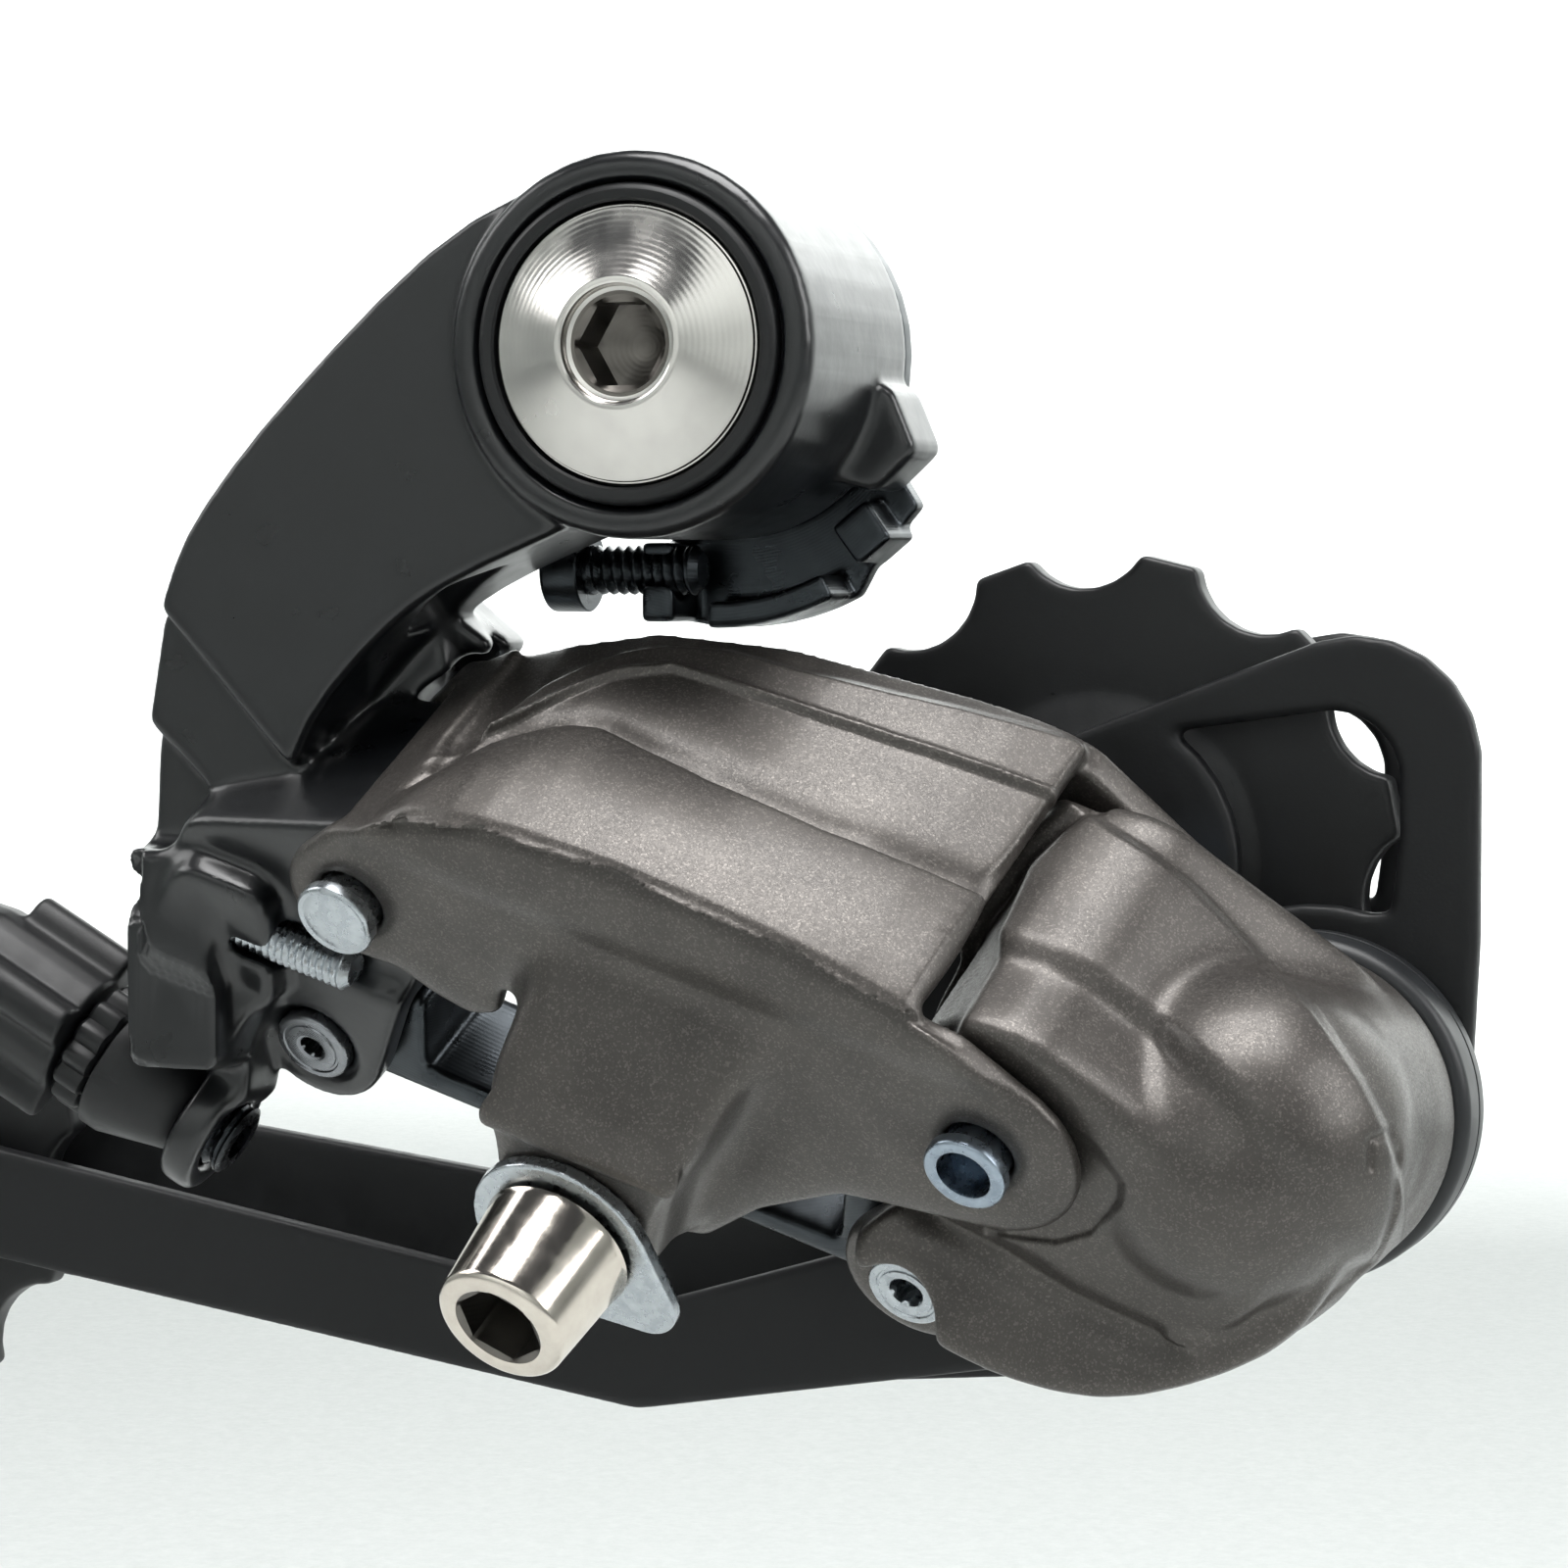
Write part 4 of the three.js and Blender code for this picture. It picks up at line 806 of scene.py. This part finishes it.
# screws with a cross recess: a turned, threaded body with the cross cut into its head
def crossCut(piece, centre, axis, across, top, size, depth):
    axis, across = Vector(axis).normalized(), Vector(across)
    across = (across - across.dot(axis) * axis).normalized()
    side = axis.cross(across)
    for first, second in ((across, side), (side, across)):
        corners = []
        for height, scale in ((top - 0.3, 1.0), (top + depth, 0.35)):
            for u, v in ((-1, -1), (1, -1), (1, 1), (-1, 1)):
                spot = Vector(centre) + axis * height + first * (u * size * scale) + second * (v * 0.24)
                corners.append(tuple(spot))
        faces = [(0, 1, 2, 3), (7, 6, 5, 4), (0, 4, 5, 1), (1, 5, 6, 2), (2, 6, 7, 3), (3, 7, 4, 0)]
        tool = writeMesh("cross_tool", corners, faces)
        cut = piece.modifiers.new("cross", "BOOLEAN")
        cut.operation, cut.solver, cut.object = "DIFFERENCE", "EXACT", tool
        bpy.context.view_layer.update()
        bakeModifiers(piece)
        piece.data.set_sharp_from_angle(angle=math.radians(28))
        bpy.data.objects.remove(tool)


screws = [
    # node, centre, axis, head height, head radius, head length, shank radius, tip, pitch,
    # body, finish, slot
    ("high_limit_screw", linkPoint(0, 8, 2.5), linkAlong, -14.5, 2.5, 1.6, 1.5, -0.8, 0.5,
     "high_limit", zinc, "zinc_plate"),
    ("low_limit_screw", linkPoint(0, 8, 9.4), linkAlong, -14.5, 2.5, 1.6, 1.5, 3.4, 0.5,
     "low_limit", zinc, "zinc_plate"),
    ("b_tension_screw", np.array([0, -6.2, -13.7]), (1, 0, 0), -11.6, 2.7, 2.6, 1.6, -1.2, 0.7,
     "tension_screw", darkSteel, "dark_steel"),
]


def makeScrew(node, centre, axis, top, headRadius, headLength, radius, tip, pitch, body, material, slot):
    neck = top + headLength
    rings = [(0, top)] + rounded(headRadius, top, 0.35, (-1, 0), (0, 1), 4)
    rings += [(headRadius, neck - 0.1), (headRadius - 0.1, neck), (radius, neck)]
    rings += threadRings(radius, pitch, neck + 0.3, tip - 0.5, pitch * 0.5) + [(radius - 0.5, tip), (0, tip)]
    piece = turnedShape(node + "_threaded", rings, centre, axis, (0, 0, 1), 48)
    crossCut(piece, centre, axis, (0, 0, 1), top, headRadius * 0.62, 1.3)
    return finishPiece(piece, material, body, node)


for screw in screws:
    makeScrew(*screw)

# adjuster: hollow threaded screw, tapered sleeve and ribbed ring
adjuster = {
    "screwLow": -3.4, "screwHigh": 18.0, "screwRadius": 2.5, "bore": 1.3, "pitch": 0.8,
    "sleeve": [(2.8, 0.3), (3.0, 0.3), (3.1, 0.4), (4.7, 5.2), (4.7, 6.3), (4.6, 6.4), (2.8, 6.4)],
    "ringLow": 6.7, "ringHigh": 9.0, "ringRadius": 4.0, "ribHeight": 0.5, "ribs": 14,
}


def makeAdjuster():
    a = adjuster
    seat, axis = jointCentre("barrel_adjuster_turn"), jointAxis("barrel_adjuster_turn")
    rings = [(a["bore"], a["screwLow"]), (a["screwRadius"] - 0.4, a["screwLow"])]
    rings += threadRings(a["screwRadius"], a["pitch"], a["screwLow"] + 0.2, a["screwHigh"] - 0.2)
    rings += [(a["screwRadius"] - 0.4, a["screwHigh"]), (a["bore"], a["screwHigh"])]
    screw = turnedShape("adjuster_screw_threaded", rings, seat, axis, (0, 1, 0), 48, closed=True)
    finishPiece(screw, blackZinc, "barrel_adjuster", "adjuster_screw")
    sleeve = turnedShape("adjuster_sleeve_turned", a["sleeve"], seat, axis, (0, 1, 0), 72, closed=True)
    finishPiece(sleeve, nylon, "barrel_adjuster", "adjuster_sleeve")

    def ribbed(inset):
        def radius(angles):
            wave = 0.5 + 0.5 * np.cos(a["ribs"] * angles)
            return a["ringRadius"] - inset + a["ribHeight"] * wave ** 0.6
        return radius
    low, high = a["ringLow"], a["ringHigh"]
    rings = [(2.8, low), (ribbed(0.35), low), (ribbed(0.05), low + 0.25), (ribbed(0), low + 0.5)]
    rings += [(ribbed(0), high - 0.5), (ribbed(0.05), high - 0.25), (ribbed(0.35), high), (2.8, high)]
    ring = turnedShape("adjuster_ring_ribbed", rings, seat, axis, (0, 1, 0), 168, closed=True)
    finishPiece(ring, nylon, "barrel_adjuster", "adjuster_ring")


makeAdjuster()

# cage axle, collar and stop pin
cageFittings = {
    "axleRadius": 4.0, "axleLow": -17.4, "axleHigh": 4.7, "rivetRadius": 3.2, "rivetHigh": 7.2,
    "collarOuter": 11.1, "collarLow": -0.3, "collarHigh": 4.7, "boss": 8.2, "bossHigh": 1.8,
    "stopReach": 15.3, "stopTurn": 198, "stopRadius": 1.5, "stopLow": 0.4, "stopHigh": 4.85,
}


def makeCageFittings():
    c = cageFittings
    centre = (cageCentre[0], 0, cageCentre[2])
    rings = [(0, c["axleLow"]), (c["axleRadius"] - 0.5, c["axleLow"]), (c["axleRadius"], c["axleLow"] + 0.5)]
    rings += [(c["axleRadius"], c["axleHigh"]), (c["rivetRadius"], c["axleHigh"])]
    rings += rounded(c["rivetRadius"], c["rivetHigh"], 0.25, (0, -1), (-1, 0), 3) + [(1.4, c["rivetHigh"])]
    rings += [(1.2, c["rivetHigh"] - 0.4), (0, c["rivetHigh"] - 0.6)]
    axle = turnedShape("cage_axle_turned", rings, centre, yAxis, (1, 0, 0), 72)
    finishPiece(axle, pinSteelAndPinShade, "cage", "cage_axle")
    inner = c["axleRadius"] + 0.3
    rings = [(inner, c["bossHigh"]), (c["boss"], c["bossHigh"]), (c["boss"], c["collarLow"])]
    rings += rounded(c["collarOuter"], c["collarLow"], 0.9, (-1, 0), (0, 1), 6)
    groove = c["collarOuter"] - 0.18
    rings += [(c["collarOuter"], 2.9), (groove, 3.0), (groove, 3.2), (c["collarOuter"], 3.3)]
    rings += rounded(c["collarOuter"], c["collarHigh"], 0.3, (0, -1), (-1, 0), 3) + [(inner, c["collarHigh"])]
    collar = turnedShape("cage_collar_moulded", rings, centre, yAxis, (1, 0, 0), 120, closed=True)
    finishPiece(collar, collarNylon, "cage", "cage_collar")
    turn = math.radians(c["stopTurn"])
    spot = (centre[0] + c["stopReach"] * math.cos(turn), 0, centre[2] + c["stopReach"] * math.sin(turn))
    rings = [(0, c["stopLow"])] + rounded(c["stopRadius"], c["stopLow"], 0.35, (-1, 0), (0, 1), 4)
    rings += [(c["stopRadius"], c["stopHigh"]), (0, c["stopHigh"])]
    stop = turnedShape("cage_stop_pin_turned", rings, spot, yAxis, (1, 0, 0), 48)
    finishPiece(stop, pinSteelAndPinShade, "cage", "cage_stop_pin")


collarNylon = mouldedNylon("dark_grey_glass_filled_nylon", "#161719", "#212325", 0.36, 0.46)
makeCageFittings()

# pulley fittings, the same on both wheels
pulleyFittings = {
    "middle": 10.5, "bushLow": 6.9, "bushHigh": 14.1, "bushRadius": 3.9, "bushBore": 2.6,
    "capInner": 4.2, "capOuter": 7.4, "capThick": 0.6, "capAway": 3.3,
    "boltRadius": 2.5, "boltLow": 4.4, "headLow": 16.15, "headHigh": 18.75, "headRadius": 4.2,
    "hexFlats": 3.0,
}


def makePulleyFittings(wheel, centre):
    p = pulleyFittings
    at = (centre[0], 0, centre[2])
    rings = [(p["bushBore"], p["bushLow"])] + rounded(p["bushRadius"], p["bushLow"], 0.2, (-1, 0), (0, 1), 3)
    rings += rounded(p["bushRadius"], p["bushHigh"], 0.2, (0, -1), (-1, 0), 3)
    rings += [(p["bushBore"], p["bushHigh"])]
    bush = turnedShape(wheel + "_bush_pressed", rings, at, yAxis, (1, 0, 0), 72, closed=True)
    finishPiece(bush, bronze, "cage", wheel + "_bush")
    for side, word in ((-1, "outer"), (1, "inner")):
        middle = p["middle"] + side * p["capAway"]
        low, high = middle - p["capThick"] / 2, middle + p["capThick"] / 2
        rings = [(p["capInner"], low)] + rounded(p["capOuter"], low, 0.15, (-1, 0), (0, 1), 3)
        rings += rounded(p["capOuter"], high, 0.15, (0, -1), (-1, 0), 3) + [(p["capInner"], high)]
        cap = turnedShape(f"{wheel}_{word}_cap_pressed", rings, at, yAxis, (1, 0, 0), 72, closed=True)
        finishPiece(cap, blueZinc, "cage", f"{wheel}_{word}_cap")
    wall = hexRadius(p["hexFlats"])
    rings = [(0, p["boltLow"]), (p["boltRadius"] - 0.5, p["boltLow"])]
    rings += [(p["boltRadius"] - 0.1, p["boltLow"] + 0.3)]
    rings += threadRings(p["boltRadius"], 0.8, p["boltLow"] + 0.3, p["bushLow"] - 0.1, 0.35)
    head, low, high = p["headRadius"], p["headLow"], p["headHigh"]
    rings += [(p["boltRadius"], low), (head - 0.1, low), (head, low + 0.1)]
    rings += [(head, high - 0.8), (head - 0.25, high - 0.35)]
    rings += [(head - 0.8, high - 0.06), (head - 1.2, high), (2.0, high)]
    rings += [(lambda a: np.maximum(wall(a), 1.75), high - 0.15), (wall, high - 0.4)]
    rings += [(wall, low + 0.8), (0, low + 0.5)]
    bolt = turnedShape(wheel + "_bolt_threaded", rings, at, yAxis, (1, 0, 0), 72)
    finishPiece(bolt, pinSteelAndPinShade, "cage", wheel + "_bolt")


makePulleyFittings("guide_pulley", guideCentre)
makePulleyFittings("tension_pulley", tensionCentre)

# springs and the clip keep their frame solids, with a drawn-wire finish
for node in ("upper_pivot_spring", "return_spring", "lower_pivot_spring", "retaining_clip"):
    mesh = frame["nodes"][node].data
    mesh.materials.clear()
    mesh.materials.append(wire)

# floor and wall: one plain pale sweep
print("setting the studio")


def makeSweep():
    # a round paper sweep, wide enough to hold a camera on any side of the part
    s = studio
    low, radius, bend, sides = s["floorHeight"], s["sweepRadius"], s["sweepBend"], s["sweepSides"]
    outline = [(radius - bend + bend * math.sin(t), low + bend - bend * math.cos(t))
               for t in np.linspace(0.0, math.pi / 2, 12)]
    outline += [(radius, s["wallHeight"])]
    points, faces = [(0.0, 0.0, low / mm)], []
    for row, (reach, height) in enumerate(outline):
        for k in range(sides):
            turn = 2 * math.pi * k / sides
            points.append((reach / mm * math.cos(turn), reach / mm * math.sin(turn), height / mm))
            here, after = 1 + row * sides + k, 1 + row * sides + (k + 1) % sides
            if row == 0:
                faces.append((0, here, after))
            else:
                faces.append((here - sides, here, after, after - sides))
    sweep = writeMesh("studio_sweep", points, faces)
    # matt handmade paper: pale, with a fibre mottle of about 2 mm
    material, tree, shader, place = newFinish("matt_white_paper", "#e6e7e6", 0.9)
    varyColor(tree, shader, noiseAt(tree, place, 2.0, 6.0, 0.75), "#bfc3c1", "#dfe1e0")
    sweep.data.materials.append(material)


def addLight(name, at, towards, size, power):
    data = bpy.data.lights.new(name, "AREA")
    data.shape, data.size, data.size_y = "RECTANGLE", size[0], size[1]
    data.energy = power
    light = bpy.data.objects.new(name, data)
    light.location = at
    light.rotation_euler = (Vector(towards) - Vector(at)).to_track_quat("-Z", "Y").to_euler()
    bpy.context.scene.collection.objects.link(light)


def makeCamera():
    data = bpy.data.cameras.new("camera")
    data.angle = math.radians(studio["cameraAngle"])
    camera = bpy.data.objects.new("camera", data)
    camera.location = studio["cameraAt"]
    camera.rotation_euler = Vector(studio["cameraAlong"]).to_track_quat("-Z", "Y").to_euler()
    bpy.context.scene.collection.objects.link(camera)
    bpy.context.scene.camera = camera


def makeWorld():
    world = bpy.data.worlds.new("soft_room")
    world.use_nodes = True
    tree = world.node_tree
    tree.nodes.clear()
    settings = {"Color": linear(studio["worldColor"]), "Strength": studio["worldStrength"]}
    back = addNode(tree, "ShaderNodeBackground", settings)
    addNode(tree, "ShaderNodeOutputWorld", links={"Surface": back.outputs["Background"]})
    bpy.context.scene.world = world


bpy.context.scene.view_settings.view_transform = "Standard"
makeSweep()
makeCamera()
makeWorld()
middle = (0.0, 0.0, -0.03)
lights = [
    # name, place, aimed at, size, watts
    ("overhead_softbox", (0.06, -0.08, 0.5), middle, (0.45, 0.35), 5.2),
    ("right_softbox", (0.5, 0.0, 0.2), middle, (0.25, 0.35), 1.6),
    ("left_softbox", (-0.5, -0.1, 0.3), middle, (0.3, 0.3), 1.0),
    ("wall_light", (0.0, 1.0, 0.9), (0.0, 1.6, 0.72), (1.6, 0.4), 55.0),
    ("front_wall_light", (0.0, -1.0, 0.9), (0.0, -1.6, 0.72), (1.6, 0.4), 16.0),
]
for light in lights:
    addLight(*light)
